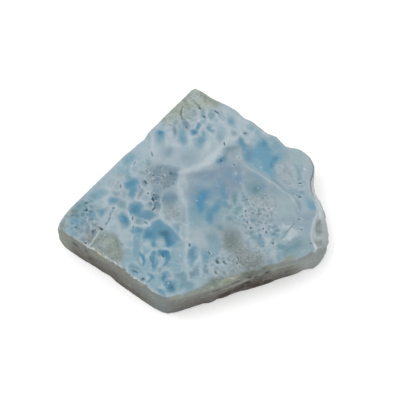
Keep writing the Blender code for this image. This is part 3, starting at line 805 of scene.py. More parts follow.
# %% Draw the cells of the middle
MIDDLE_CELLS = [
    ("dark blue", [(5.0, 10.9, 2.2, 1.8, 50, 0.7)]),
    ("blue", [(-7.0, 0.6, 3.6, 2.8, 0, 0.45)]),
    ("blue", [(5.0, 10.9, 2.8, 2.1, 50, 0.7)]),
    ("slate", [
        (5.9, 12.1, 1.0, 2.2, -30, 0.5), (-8.9, 8.7, 2.8, 1.4, 0, 0.6),
        (-6.4, 6.9, 3.0, 3.8, -20, 0.75), (-10.7, 7.2, 2.2, 3.0, 0, 0.6),
        (-9.9, 5.2, 1.8, 1.4, 0, 0.5), (-7.7, 3.8, 1.6, 1.4, 0, 0.5),
        (-13.6, 7.2, 1.3, 1.0, 0, 0.35), (-7.0, 0.5, 3.8, 3.0, 0, 0.6),
        (-7.3, -1.3, 2.0, 2.2, 0, 0.4), (-12.9, 4.6, 1.2, 1.8, 25, 0.6),
        (-13.9, 1.6, 0.9, 2.2, -20, 0.4),
    ]),
    ("dark blue", [
        (-6.6, 7.2, 1.0, 1.4, -20, 0.25), (-10.4, 0.2, 3.0, 5.4, 4, 0.7),
        (-10.4, -0.6, 1.6, 3.4, 0, 0.3),
    ]),
    ("blue", [(4.5, 11.2, 2.2, 2.2, 50, 0.5)]),
    ("slate", [(-9.8, -1.5, 1.6, 2.0, 0, 0.4)]),
    ("teal", [(13.1, 2.9, 4.4, 4.2, 0, 0.9), (12.6, 1.4, 2.4, 1.4, 0, 0.6)]),
    ("dark teal", [(12.9, 2.6, 1.6, 2.0, 0, 0.4)]),
    ("periwinkle", [
        (1.5, 6.9, 5.0, 3.0, 10, 0.3), (8.8, 5.6, 2.8, 3.2, 0, 0.6), (5.0, 3.2, 3.2, 6.0, 15, 0.9),
        (7.0, 7.0, 3.0, 3.2, 0, 0.6), (14.2, 3.4, 1.6, 1.6, 0, 0.8),
        (13.6, 6.2, 4.4, 2.0, -35, 0.45),
    ]),
    ("mauve", [
        (2.3, 6.8, 3.0, 2.4, 0, 0.6), (0.4, 7.4, 2.6, 1.6, 0, 0.6), (8.0, 8.8, 3.0, 1.8, 0, 0.5),
    ]),
    ("turquoise", [
        (-0.6, -3.2, 5.4, 6.6, 0, 0.75), (3.5, 1.6, 3.6, 5.2, 0, 0.4),
        (3.2, -3.4, 4.6, 6.0, 0, 0.7), (-2.2, -5.5, 2.2, 3.6, 0, 0.4),
        (-18.1, 7.7, 1.8, 1.8, 0, 0.6), (-16.8, 6.6, 1.6, 2.4, 0, 0.8),
    ]),
    ("blue", [
        (0.2, -0.2, 4.2, 7.4, -8, 0.8), (1.9, 1.9, 3.4, 2.4, 0, 0.2),
        (3.6, -1.9, 2.2, 5.4, -38, 0.9), (2.3, -4.7, 1.9, 4.2, -5, 0.95),
        (5.6, 1.6, 1.8, 3.4, 5, 0.6), (-15.9, 4.3, 3.8, 4.0, 0, 0.95),
        (-15.6, 1.9, 1.6, 3.2, -12, 0.9), (5.7, -1.2, 2.2, 1.8, 0, 0.6),
        (-19.7, -0.2, 2.7, 1.7, -8, 0.8), (3.4, 3.4, 1.4, 1.2, 0, 0.3),
    ]),
    ("teal", [
        (8.0, 0.3, 1.3, 3.4, 5, 0.95), (8.8, -2.3, 1.5, 2.2, -10, 0.9),
        (6.9, -1.7, 1.4, 1.5, 0, 0.7), (8.1, -3.5, 1.5, 1.1, 0, 0.7), (10.4, 0.2, 1.2, 3.4, 8, 1.0),
        (6.7, -4.9, 1.8, 1.4, 0, 0.7), (4.7, -7.3, 2.6, 1.4, -28, 0.85),
        (-18.0, -1.2, 2.2, 1.6, -20, 0.6), (10.4, -6.9, 0.8, 2.6, 28, 0.5),
        (11.6, -9.0, 2.4, 1.1, -35, 0.6),
    ]),
    ("soft slate", [
        (-3.2, -2.0, 1.4, 1.8, 20, 0.6), (-4.5, -5.2, 2.4, 3.6, 20, 0.8),
        (-19.0, 4.4, 2.2, 4.2, 0, 0.3), (12.3, -9.3, 1.2, 1.0, 0, 0.6),
    ]),
    ("cool grey", [(-6.6, -3.3, 2.4, 2.6, 0, 0.6)]),
    ("stone grey", [
        (-7.0, -3.0, 3.2, 3.2, 0, 0.5), (-5.0, -3.9, 1.6, 1.2, 0, 0.7),
        (-11.4, 6.0, 1.6, 1.2, 0, 0.6), (-19.4, 4.2, 2.4, 5.0, 0, 0.6),
    ]),
    ("cool grey", [(-5.0, -3.9, 0.9, 0.8, 0, 0.5), (11.6, 0.2, 0.9, 0.8, 0, 0.4)]),
    ("core blue", [
        (0.5, 0.9, 2.0, 3.4, -25, 0.9), (0.0, -1.6, 1.8, 3.2, 8, 0.9),
        (1.8, 2.1, 2.0, 1.2, 15, 0.15), (0.7, 0.9, 1.2, 1.8, -25, 0.4),
        (2.3, -4.9, 1.0, 3.0, 0, 0.3), (-16.2, 4.5, 1.8, 1.8, 0, 0.35),
        (3.4, -2.6, 1.1, 2.4, -30, 0.25),
    ]),
    ("pale turquoise", [
        (2.1, -0.6, 1.9, 1.9, 0, 0.6), (1.5, 4.4, 4.0, 2.4, 0, 0.6), (-1.4, 4.8, 2.4, 3.4, 0, 0.5),
    ]),
    ("soft white", [(1.2, 8.3, 4.6, 1.3, 10, 0.5)]),
    ("lavender", [(3.7, -5.2, 1.2, 1.3, 0, 0.6)]),
    ("granular grey", [(-2.6, 4.6, 2.4, 6.4, 6, 0.4)]),
    ("white", [
        (-3.4, 4.6, 1.2, 4.2, 10, 0.45), (10.2, 3.4, 0.6, 6.0, 6, 0.35),
        (3.9, 5.0, 0.5, 3.4, 20, 0.25), (-13.0, -0.6, 1.8, 1.2, 0, 0.35),
    ]),
]
print("middle cells:", sum(len(rows) for _, rows in MIDDLE_CELLS))

# %% [markdown]
# The right end has a band of blue beads round a pale speckled grain, and below it the grey
# matrix, where the cells are small and dull and green stains reach in from the front rim.

# %% Draw the cells of the right end
RIGHT_CELLS = [
    ("periwinkle", [
        (11.4, 13.0, 2.4, 3.2, -35, 0.75), (11.6, 10.8, 1.8, 1.6, 0, 0.6),
        (13.8, 15.0, 1.3, 1.1, 0, 0.6), (13.0, 9.2, 2.6, 1.2, -35, 0.4),
    ]),
    ("blue", [
        (15.0, 15.2, 2.2, 3.0, 20, 0.6), (11.2, 12.2, 1.6, 3.4, -20, 0.7),
        (17.6, 11.0, 2.8, 2.0, 40, 0.75), (17.3, 8.8, 1.1, 2.8, 0, 0.5),
        (10.5, 14.2, 1.6, 2.2, 10, 0.6),
    ]),
    ("blue", [(17.5, 7.2, 1.5, 2.8, 0, 0.95)]),
    ("deep blue", [
        (16.2, 14.0, 1.4, 1.6, 0, 0.4), (16.8, 9.6, 1.3, 2.4, -15, 0.6),
        (17.7, 11.2, 1.4, 1.0, 30, 0.4), (15.2, 15.4, 1.2, 1.8, 0, 0.4),
    ]),
    ("teal", [
        (17.8, 5.5, 1.7, 3.0, 40, 0.85), (19.3, 3.4, 1.1, 3.0, 42, 0.65),
        (21.4, 2.2, 2.6, 2.2, 0, 0.5), (23.2, 1.6, 2.0, 1.6, 0, 0.4),
    ]),
    ("pale turquoise", [(13.6, 10.4, 2.4, 2.0, 0, 0.5), (12.4, 9.4, 2.6, 1.2, -35, 0.6)]),
    ("pale turquoise", [(13.0, 16.6, 1.2, 2.6, -20, 0.5), (14.2, 9.0, 1.6, 1.2, -30, 0.35)]),
    ("soft white", [
        (19.8, 7.0, 4.4, 5.7, 8, 0.95), (25.4, 4.5, 1.1, 7.0, 3, 0.6),
        (24.4, 8.4, 0.9, 2.4, 10, 0.7),
    ]),
    ("soft slate", [
        (19.4, 7.7, 1.4, 1.8, 0, 0.5), (21.3, 7.4, 1.4, 2.0, 20, 0.5),
        (20.2, 5.0, 1.8, 1.6, 0, 0.45), (18.5, 6.4, 1.0, 1.6, 0, 0.5),
        (20.6, 9.4, 2.0, 0.9, 0, 0.4), (21.8, 5.4, 1.0, 1.6, 0, 0.3),
    ]),
    ("slate", [
        (19.4, 7.8, 0.7, 0.6, 0, 0.5), (20.3, 8.8, 0.8, 0.5, 30, 0.4),
        (21.1, 6.4, 0.6, 0.7, 0, 0.4), (19.7, 5.2, 0.7, 0.5, 0, 0.4), (20.8, 4.3, 0.8, 0.5, 0, 0.4),
        (18.7, 8.8, 0.6, 0.8, 0, 0.35),
    ]),
    ("stone grey", [(19.8, 7.2, 3.2, 4.8, 8, 0.4)]),
    ("milky", [
        (22.0, 8.0, 0.9, 2.4, 10, 0.7), (21.2, 9.6, 1.6, 0.6, -25, 0.5),
        (24.3, 5.2, 0.9, 2.0, 0, 0.5),
    ]),
    ("soft turquoise", [(19.0, 10.4, 1.8, 1.0, 10, 0.8), (20.4, 12.2, 2.2, 2.6, 0, 0.6)]),
    ("pale blue", [
        (17.0, 16.2, 1.4, 1.6, 0, 0.7), (13.2, 17.2, 1.1, 1.0, 0, 0.4),
        (18.2, 13.4, 1.2, 1.2, 0, 0.3),
    ]),
    ("mauve", [(12.0, 15.0, 1.4, 1.8, 0, 0.5)]),
    ("pale blue", [(8.1, 7.1, 1.5, 1.5, 0, 0.5), (10.1, 7.0, 1.3, 1.8, 0, 0.5)]),
    ("teal", [(17.2, 5.2, 0.8, 1.6, 40, 0.4), (18.4, 4.2, 0.8, 1.6, 40, 0.4)]),
    ("soft white", [(25.3, 10.6, 1.6, 4.0, 0, 0.6)]),
    ("teal", [
        (23.0, 7.2, 1.6, 4.2, 0, 0.55), (23.9, 9.2, 0.8, 1.2, 0, 0.5),
        (23.3, 4.1, 1.8, 1.8, 0, 0.7), (23.2, 1.4, 1.8, 1.6, 0, 0.7),
        (22.4, 9.0, 0.9, 2.0, 20, 0.45), (23.4, 5.4, 0.8, 1.4, 0, 0.4),
    ]),
    ("soft turquoise", [
        (20.4, 2.4, 1.1, 3.0, 45, 0.8), (22.4, 0.0, 1.0, 3.2, 34, 0.8),
        (17.6, 2.2, 1.6, 3.0, 45, 0.5),
    ]),
    ("slate", [(22.7, -1.4, 0.9, 2.2, 15, 0.4)]),
    ("turquoise", [
        (25.3, -1.0, 2.6, 3.8, 18, 0.8), (24.2, 0.6, 1.8, 2.4, 20, 0.5),
        (17.6, -13.4, 1.2, 3.4, 0, 0.5),
    ]),
    ("cyan", [(25.7, -1.6, 2.0, 2.4, 15, 0.7)]),
    ("teal", [(13.3, -10.5, 2.3, 3.8, 25, 0.8)]),
    ("blue", [
        (13.4, -10.4, 1.8, 3.0, 25, 0.35), (14.1, -12.2, 1.0, 1.8, 20, 0.6),
        (15.3, -9.2, 1.5, 1.2, 0, 0.75), (17.2, -9.2, 1.2, 1.4, 0, 0.55),
    ]),
    ("teal", [
        (17.6, -15.0, 1.1, 1.7, 0, 0.5), (20.2, -12.8, 2.4, 1.8, 20, 0.6),
        (21.7, -11.3, 3.8, 0.9, 40, 0.4), (18.4, -12.0, 2.2, 2.0, 0, 0.7),
    ]),
    ("dark blue", [(13.6, -10.8, 1.2, 1.6, 0, 0.3), (14.2, -11.8, 0.8, 1.4, 20, 0.5)]),
    ("slate", [
        (12.5, -5.1, 1.9, 3.4, 10, 0.4), (6.5, -9.0, 2.2, 1.6, 0, 0.4),
        (12.2, -3.4, 1.1, 0.8, 20, 0.5), (13.5, -3.0, 0.9, 0.7, -30, 0.5),
        (14.6, -2.4, 0.8, 1.1, 20, 0.5), (15.9, -2.0, 0.7, 0.8, 0, 0.45),
        (14.8, 1.1, 1.5, 0.9, 0, 0.35), (13.9, -5.0, 0.9, 0.7, 0, 0.35),
        (16.6, -5.0, 1.0, 0.8, 0, 0.3), (25.1, -11.3, 0.7, 0.4, -30, 0.6),
        (16.9, -7.0, 1.4, 0.8, 5, 0.7), (17.4, -8.1, 0.8, 1.8, -20, 0.6),
        (16.4, -11.2, 0.9, 1.5, 0, 0.7), (15.9, -16.2, 1.1, 1.5, 20, 0.5),
    ]),
    ("soft slate", [
        (15.0, -5.0, 1.6, 2.0, 0, 0.5), (23.0, -6.0, 2.0, 1.4, -20, 0.4),
        (13.0, -8.0, 1.4, 2.0, 0, 0.4), (14.0, -11.0, 1.2, 1.8, 20, 0.4),
        (10.4, -5.8, 1.2, 1.6, 0, 0.4), (22.6, -3.4, 2.2, 1.2, 20, 0.3),
    ]),
    ("soft white", [
        (9.2, -8.0, 1.0, 2.6, 15, 0.6), (10.2, -9.6, 1.0, 2.0, 20, 0.4),
        (12.2, -13.0, 1.6, 1.2, 30, 0.3),
    ]),
    ("dark sage", [
        (7.0, -10.3, 3.0, 4.4, 0, 0.45), (7.2, -11.0, 2.2, 2.6, 0, 0.55),
        (3.5, -18.4, 1.8, 1.3, -60, 0.5), (8.6, -15.0, 1.0, 3.0, 15, 0.45),
    ]),
    ("iron grey", [
        (11.2, -17.0, 3.2, 2.6, 10, 0.75), (13.0, -16.0, 2.4, 1.8, 0, 0.5),
        (13.6, -17.4, 3.0, 1.0, 18, 0.5),
    ]),
    ("sage", [(6.2, -18.7, 3.6, 1.6, 15, 0.6)]),
    ("grey", [(9.8, -13.4, 3.0, 2.6, 0, 0.5), (12.0, -15.0, 2.6, 2.2, 0, 0.45)]),
    ("soft white", [
        (16.0, -7.9, 1.0, 1.2, 0, 0.5), (15.3, -11.0, 1.4, 3.4, 0, 0.9),
        (11.9, -11.6, 1.6, 1.4, 0, 0.6), (16.6, -14.0, 1.4, 2.4, -10, 0.8),
        (10.1, -14.2, 0.8, 1.0, 0, 0.3), (5.0, -13.4, 2.2, 1.2, -20, 0.5),
        (6.3, -13.9, 0.9, 0.9, 0, 0.6), (12.8, -12.4, 1.0, 0.6, 0, 0.5),
        (14.4, -13.9, 1.2, 1.6, 0, 0.5), (4.6, -15.0, 1.0, 2.2, 30, 0.4),
        (4.3, -17.0, 1.6, 1.6, 0, 0.5), (8.2, -17.6, 2.6, 1.6, 0, 0.3),
    ]),
    ("green", [
        (3.3, -20.6, 3.0, 1.9, 25, 0.85), (1.0, -21.7, 2.4, 0.9, 20, 0.35),
        (5.6, -20.2, 2.2, 0.9, 15, 0.4),
    ]),
    ("olive", [(19.8, -15.4, 3.4, 1.2, 22, 0.7), (6.6, -20.4, 4.0, 0.9, 18, 0.5)]),
    ("soft turquoise", [(17.8, -10.4, 2.4, 2.2, 0, 0.5)]),
]
print("right cells:", sum(len(rows) for _, rows in RIGHT_CELLS))

# %% [markdown]
# In the left corner the cells are teal and stand close together, with a sage grain below
# them and milky crescents between.

# %% Draw the cells of the left corner
LEFT_CELLS = [
    ("pale turquoise", [(-24.2, 3.6, 4.2, 2.0, 50, 0.6), (-29.4, -8.3, 2.4, 3.2, 40, 0.3)]),
    ("turquoise", [(-23.9, 1.2, 4.4, 2.8, 30, 0.85), (-27.9, -4.9, 3.8, 3.6, 0, 0.6)]),
    ("teal", [
        (-27.4, -1.7, 4.6, 2.4, 42, 0.85), (-26.2, -3.5, 1.8, 2.6, 20, 0.6),
        (-28.2, -3.6, 1.2, 1.8, 0, 0.6), (-24.5, 1.1, 1.8, 1.5, 0, 0.5),
        (-26.0, -0.7, 1.3, 1.6, 0, 0.6), (-29.2, -7.6, 1.4, 1.0, 30, 0.4),
    ]),
    ("dark teal", [(-26.0, -2.6, 1.0, 1.5, 0, 0.8), (-28.2, -4.2, 0.6, 1.2, 20, 0.3)]),
    ("green", [(-29.3, -3.3, 1.4, 2.2, -30, 0.7), (-31.2, -6.6, 1.3, 2.6, 0, 0.45)]),
    ("blue", [
        (-22.4, -3.1, 1.5, 2.1, -25, 0.5), (-28.4, -5.5, 1.5, 1.4, 0, 0.85),
        (-26.4, -5.6, 1.7, 1.2, 20, 0.75), (-24.7, -4.0, 1.7, 2.4, 25, 0.75),
        (-17.3, -5.2, 2.0, 4.0, 25, 0.9), (-14.7, -2.3, 3.6, 4.0, -10, 0.95),
        (-13.0, -4.6, 2.6, 2.4, 0, 0.6), (-14.2, -8.0, 3.0, 1.9, -5, 0.9),
    ]),
    ("slate", [
        (-25.4, -8.0, 1.0, 2.0, 10, 0.7), (-26.5, -10.3, 1.0, 1.3, 0, 0.6),
        (-28.1, -7.2, 1.6, 0.9, 0, 0.8), (-25.0, -1.6, 1.2, 1.0, 0, 0.4),
        (-24.1, -8.6, 1.1, 2.0, 30, 0.6), (-28.4, -9.0, 1.2, 0.9, 0, 0.5),
        (-26.9, -8.2, 1.0, 1.0, 0, 0.4), (-23.9, -6.4, 1.2, 1.2, 0, 0.4),
    ]),
    ("deep blue", [
        (-17.2, -5.1, 1.0, 2.4, 25, 0.6), (-15.0, -2.4, 2.2, 2.4, 0, 0.65),
        (-14.1, -8.0, 1.4, 1.0, 0, 0.5),
    ]),
    ("soft turquoise", [(-16.2, -13.2, 1.6, 2.8, 0, 0.8)]),
    ("stone grey", [(-21.4, -12.1, 2.6, 1.8, -20, 0.7), (-27.3, -4.8, 0.8, 0.7, 0, 0.8)]),
    ("dark sage", [
        (-18.6, -11.6, 1.4, 4.8, 22, 0.45), (-18.1, -14.2, 1.6, 1.8, 0, 0.3),
        (-20.7, -13.6, 3.6, 1.4, -28, 0.3), (-23.6, -10.8, 1.2, 2.8, -20, 0.5),
        (-24.7, -10.0, 0.9, 2.4, -20, 0.5),
    ]),
    ("olive", [(-20.2, -12.9, 2.2, 1.6, -20, 0.5), (-23.6, -12.9, 2.0, 1.0, -30, 0.7)]),
    ("milky", [
        (-22.4, -0.8, 2.2, 1.5, 20, 0.5), (-20.6, 4.0, 1.2, 5.0, -10, 0.6),
        (-21.6, -1.0, 1.6, 2.8, 0, 0.7), (-26.6, -8.9, 1.1, 1.2, 0, 0.6),
        (-28.9, -6.6, 1.2, 0.8, 0, 0.5), (-16.3, -0.3, 1.2, 2.6, -20, 0.7),
        (-12.0, -6.9, 3.4, 0.9, 20, 0.7), (-18.9, -2.8, 1.0, 2.2, 20, 0.6),
        (-25.6, -5.0, 0.6, 1.0, 0, 0.5), (-30.3, -5.6, 0.9, 2.2, -20, 0.4),
    ]),
]
print("left cells:", sum(len(rows) for _, rows in LEFT_CELLS))

# %% [markdown]
# The front has the largest and deepest blue cells. They grew into each other, so one cell
# takes several overlapping ovals, and the white ones laid last cut them apart.

# %% Draw the cells of the front
FRONT_CELLS = [
    ("dark teal", [(-10.5, 0.8, 1.8, 3.0, 10, 0.45)]),
    ("slate", [(-8.6, -0.2, 2.6, 1.8, 20, 0.4)]),
    ("pale sage", [(-21.0, -10.6, 3.0, 1.8, 10, 0.4)]),
    ("soft slate", [
        (-15.2, -6.9, 1.4, 1.2, 0, 0.6), (-3.0, -10.2, 1.2, 2.6, 5, 0.5),
        (3.2, -12.0, 1.8, 2.6, 5, 0.5),
    ]),
    ("pale turquoise", [
        (-12.3, -16.8, 2.4, 2.0, 0, 0.4), (-4.8, -14.2, 3.4, 4.6, 0, 0.5),
        (-9.9, -20.6, 3.0, 3.6, 0, 0.4), (-5.8, -17.2, 2.8, 1.4, 10, 0.3),
    ]),
    ("turquoise", [
        (-14.2, -11.2, 2.0, 5.4, -4, 0.8), (-6.0, -17.1, 2.6, 1.3, 10, 0.8),
        (-14.9, -18.3, 2.4, 1.2, -25, 0.6), (1.3, -15.0, 2.2, 4.2, -5, 0.8),
        (-0.2, -16.8, 1.2, 1.6, 0, 0.4), (3.3, -11.6, 2.2, 5.4, 5, 0.7),
        (-2.7, -22.4, 1.3, 1.8, 0, 0.5), (0.2, -19.6, 1.4, 1.8, 0, 0.4),
    ]),
    ("blue", [
        (-9.3, -7.2, 3.8, 3.6, 15, 0.8), (-11.2, -9.0, 4.6, 4.2, 20, 0.95),
        (-7.2, -9.4, 5.2, 5.2, 25, 0.95), (-6.5, -11.2, 2.4, 2.8, 10, 0.95),
        (-10.5, -11.0, 1.4, 3.0, 15, 0.95), (-10.3, -13.9, 1.6, 1.7, 0, 0.95),
        (-10.2, -15.8, 1.4, 4.4, 5, 0.95), (-10.0, -17.4, 1.4, 1.8, 10, 0.9),
        (-8.1, -13.9, 2.8, 2.0, 0, 0.95), (-1.9, -13.9, 1.9, 4.8, 5, 0.6),
        (-8.7, -23.2, 2.4, 0.9, -38, 0.6), (-7.9, -19.6, 1.7, 3.2, -12, 0.9),
        (1.4, -14.8, 1.3, 2.6, -5, 0.6), (-6.8, -22.0, 2.2, 3.4, 25, 0.8),
    ]),
    ("deep blue", [
        (-11.8, -9.2, 2.4, 2.2, 15, 0.7), (-6.9, -10.3, 2.4, 4.0, 25, 0.85),
        (-10.2, -13.7, 1.2, 1.0, 0, 0.7), (-8.1, -13.7, 1.8, 1.3, 0, 0.8),
        (-10.6, -11.2, 0.7, 2.2, 15, 0.6),
    ]),
    ("dark blue", [
        (-8.3, -8.8, 2.4, 1.9, -20, 0.9), (-7.5, -10.2, 1.2, 2.2, 25, 0.4),
        (-6.7, -22.1, 1.5, 2.6, 25, 0.75), (-7.9, -19.9, 0.9, 1.8, -12, 0.5),
        (-8.3, -14.2, 0.7, 1.4, 0, 0.5),
    ]),
    ("teal", [
        (-14.3, -17.8, 3.0, 1.6, -25, 0.6), (2.6, -9.6, 3.0, 3.2, 0, 0.55),
        (-13.8, -5.9, 1.6, 1.6, 0, 0.5), (-2.2, -22.0, 1.6, 1.8, 0, 0.4),
    ]),
    ("slate", [
        (-1.5, -18.9, 2.1, 1.6, 0, 0.75), (-0.8, -17.8, 1.1, 1.4, 0, 0.6),
        (-12.6, -20.0, 1.2, 0.9, 0, 0.6), (4.0, -15.7, 1.6, 2.4, 30, 0.35),
        (5.6, -16.1, 1.0, 2.0, 30, 0.5), (-1.9, -13.8, 0.9, 2.2, 0, 0.35),
        (6.6, -15.5, 1.0, 0.9, 0, 0.4), (2.1, -13.6, 0.8, 1.4, 25, 0.5),
        (1.3, -17.9, 1.1, 1.9, 0, 0.6), (-9.0, -18.0, 0.8, 1.4, 20, 0.4),
    ]),
    ("periwinkle", [(-5.3, -9.8, 2.2, 4.6, 15, 0.6)]),
    ("blue", [(-12.4, -3.9, 3.4, 2.2, -10, 0.6)]),
    ("soft white", [
        (-8.8, -10.9, 1.6, 2.2, 10, 0.85), (-11.9, -11.3, 1.9, 1.8, 10, 0.85),
        (-13.2, -15.6, 0.8, 1.7, 0, 0.6), (-8.4, -15.3, 0.8, 1.6, 10, 0.25),
        (-7.5, -18.0, 2.6, 1.0, 20, 0.7), (-6.2, -19.7, 1.0, 2.0, 0, 0.6),
        (-6.0, -24.1, 3.6, 0.9, 5, 0.7), (-4.2, -23.2, 2.0, 1.3, 20, 0.7),
        (-11.6, -14.6, 0.8, 2.0, 0, 0.5), (-9.0, -15.6, 0.5, 1.6, 0, 0.4),
        (-0.4, -21.0, 1.6, 2.6, 0, 0.4), (2.6, -17.4, 0.8, 3.4, 10, 0.5),
        (-5.2, -12.6, 2.4, 1.0, -10, 0.4),
    ]),
]
CELLS = UPPER_CELLS + MIDDLE_CELLS + RIGHT_CELLS + LEFT_CELLS + FRONT_CELLS
print("front cells:", sum(len(rows) for _, rows in FRONT_CELLS))

# %% [markdown]
# The white walls of the foam need no drawing of their own. A wall stands where two cells meet,
# which is where a point is as near to one cell's edge as to another's. So the coloured ovals
# are the seeds of the net, except those that lie inside a larger one, and small filler cells
# are strewn where none was drawn, so that the net of walls closes.

# %% Seed the net of walls
FILLER_STEP = 2.1
FILLER_ROOM = 0.55
SEED_COLOURS = ("blue", "deep blue", "teal", "turquoise", "pale turquoise", "slate", "periwinkle")
FILLER_COLOURS = ("pale turquoise", "turquoise", "blue", "turquoise")


def drawn_seeds():
    ovals = [(row[:5], name) for name, rows in CELLS if name in SEED_COLOURS for row in rows]
    ovals.sort(key=lambda seed: -seed[0][2] * seed[0][3])
    seeds = []
    for oval, name in ovals:
        spot_x, spot_y = np.array([oval[0]]), np.array([oval[1]])
        if all(across(spot_x, spot_y, other)[0] > 1.0 for other, _ in seeds):
            seeds.append((oval, name))
    return seeds


def edge_gap(x, y, oval):
    """Rough distance to an oval's edge in mm, below zero inside it."""
    return (across(x, y, oval) - 1.0) * 0.5 * min(oval[2], oval[3])


def with_fillers(seeds):
    filled = list(seeds)
    for row in np.arange(-26.0, 33.0, FILLER_STEP):
        for column in np.arange(-33.0, 30.0, FILLER_STEP):
            shake = noise.noise_vector(Vector((column, row, 71.0)) * 0.83)
            x, y = column + FILLER_STEP * shake.x, row + FILLER_STEP * shake.y
            room = min(edge_gap(np.array([x]), np.array([y]), seed)[0] for seed, _ in filled)
            if room > FILLER_ROOM:
                name = FILLER_COLOURS[int(40.0 * abs(shake.y)) % len(FILLER_COLOURS)]
                filled.append(((x, y, 1.3 + shake.z, 1.6, 180.0 * shake.z), name))
    return filled


drawn = drawn_seeds()
seeds = with_fillers(drawn)
print("drawn cells:", len(drawn), "with fillers:", len(seeds))

# %% [markdown]
# How strong the net is differs from place to place, so that is a list of ovals too, and a few
# calm fields are kept free of it. Where the net is strong, each place first takes some of the
# colour of its nearest cell, so that a cell glows out to its walls.

# %% Let the cells glow
FOAM = [
    (-17.0, -1.0, 15.0, 17.0, 0, 1.0), (-9.0, -14.0, 22.0, 22.0, 0, 1.0),
    (-27.0, -4.5, 9.0, 11.0, 0, 0.8), (1.0, 20.0, 25.0, 11.0, -8, 0.8),
    (-17.0, 10.0, 10.0, 8.0, 40, 0.6), (1.5, -17.0, 10.0, 11.0, 0, 0.6),
    (14.5, -9.5, 12.0, 10.0, 0, 0.7), (7.0, -1.5, 9.0, 9.0, 0, 0.5),
]
CALM = [
    [
        (-23.2, -8.5), (-21.5, -8.4), (-20, -8.6), (-18.6, -10.1), (-17.6, -12), (-16.6, -13.8),
        (-16.0, -15.4), (-17.6, -17.2), (-21, -15.6), (-25.2, -12.6), (-24.2, -10.4),
    ],
    [
        (-2.4, -7.4), (3, -7), (10, -6), (11, -3), (13, 1), (18, 0), (17, -7), (11, -9), (4, -13),
        (0, -13), (-2.4, -11),
    ],
]
CELL_GLOW = 0.65


def nearest_cells(x, y):
    """Gap to the nearest and the second nearest cell, and which one is the nearest."""
    first = np.full(len(x), FAR_AWAY)
    second = np.full(len(x), FAR_AWAY)
    which = np.zeros(len(x), int)
    for i, (oval, _) in enumerate(seeds):
        gap = edge_gap(x, y, oval)
        second = np.minimum(second, np.maximum(first, gap))
        which[gap < first] = i
        first = np.minimum(first, gap)
    return first, second, which


def foam_strength(x, y):
    foam = np.zeros(len(x))
    for *oval, strength in FOAM:
        foam = np.maximum(foam, strength * (1.0 - fade(across(x, y, oval), 0.7, 1.2)))
    for outline in CALM:
        foam *= 1.0 - 0.9 * fade(depth_inside(x, y, outline), -1.0, 0.6)
    return foam


first, second, which = nearest_cells(bent_x, bent_y)
foam = foam_strength(bent_x, bent_y)
inner = np.array([to_array(name) for _, name in seeds])[which]
glow = CELL_GLOW * foam * fade(second - first, 0.1, 2.4)
paint = paint + (inner - paint) * glow[:, None]
print("mean glow on the face:", round(float(glow[on_face].mean()), 2))

# %% [markdown]
# Now the drawn cells are brushed on, each over those before it. Grey and green matrix has no
# wall, so its ovals fade out more softly. A thin coat of lace goes over them, and then the
# net of white walls, which are weaker where a cloud is low, as no foam is even.

# %% Brush the cells and their walls on
MATRIX = ("dark sage", "sage", "olive", "green", "grey", "cool grey", "stone grey",
          "soft white", "slate", "soft slate")
MATRIX_EDGE = 1.9
CELL_EDGE = 1.5
WALL_WIDTH = 0.6

for name, rows in CELLS:
    edge = MATRIX_EDGE if name in MATRIX else CELL_EDGE
    for *oval, strength in rows:
        reach = across(bent_x, bent_y, oval) + 0.14 * middle + 0.1 * fine
        paint = lay(paint, name, strength * (1.0 - fade(reach, 0.1, edge)))
paint = lay_lace(paint, 0.32, 0.35, 0.2, 0.3, 0.35)
gap = second - first
net = foam * fade(first, -0.25, 0.25) * (0.35 + 0.65 * fade(patchy, -0.25, 0.3))
paint = lay(paint, "milky", 0.4 * net * (1.0 - fade(gap, 0.2, 1.5)))
walls = 0.55 * net * (1.0 - fade(gap, 0.0, WALL_WIDTH)) * (0.85 + 0.4 * fine)
paint = lay(paint, "white", walls)
print("points on a wall:", int((walls > 0.2).sum()))

# %% [markdown]
# The crescents, the cracks and the boldest walls are lines: a colour, its strength, how soft
# it is, and a few points, each with half the line's width there, so that a line can swell and
# thin out. Curves could be laid on as strips of mesh, but a vein lies in the stone, not on it.

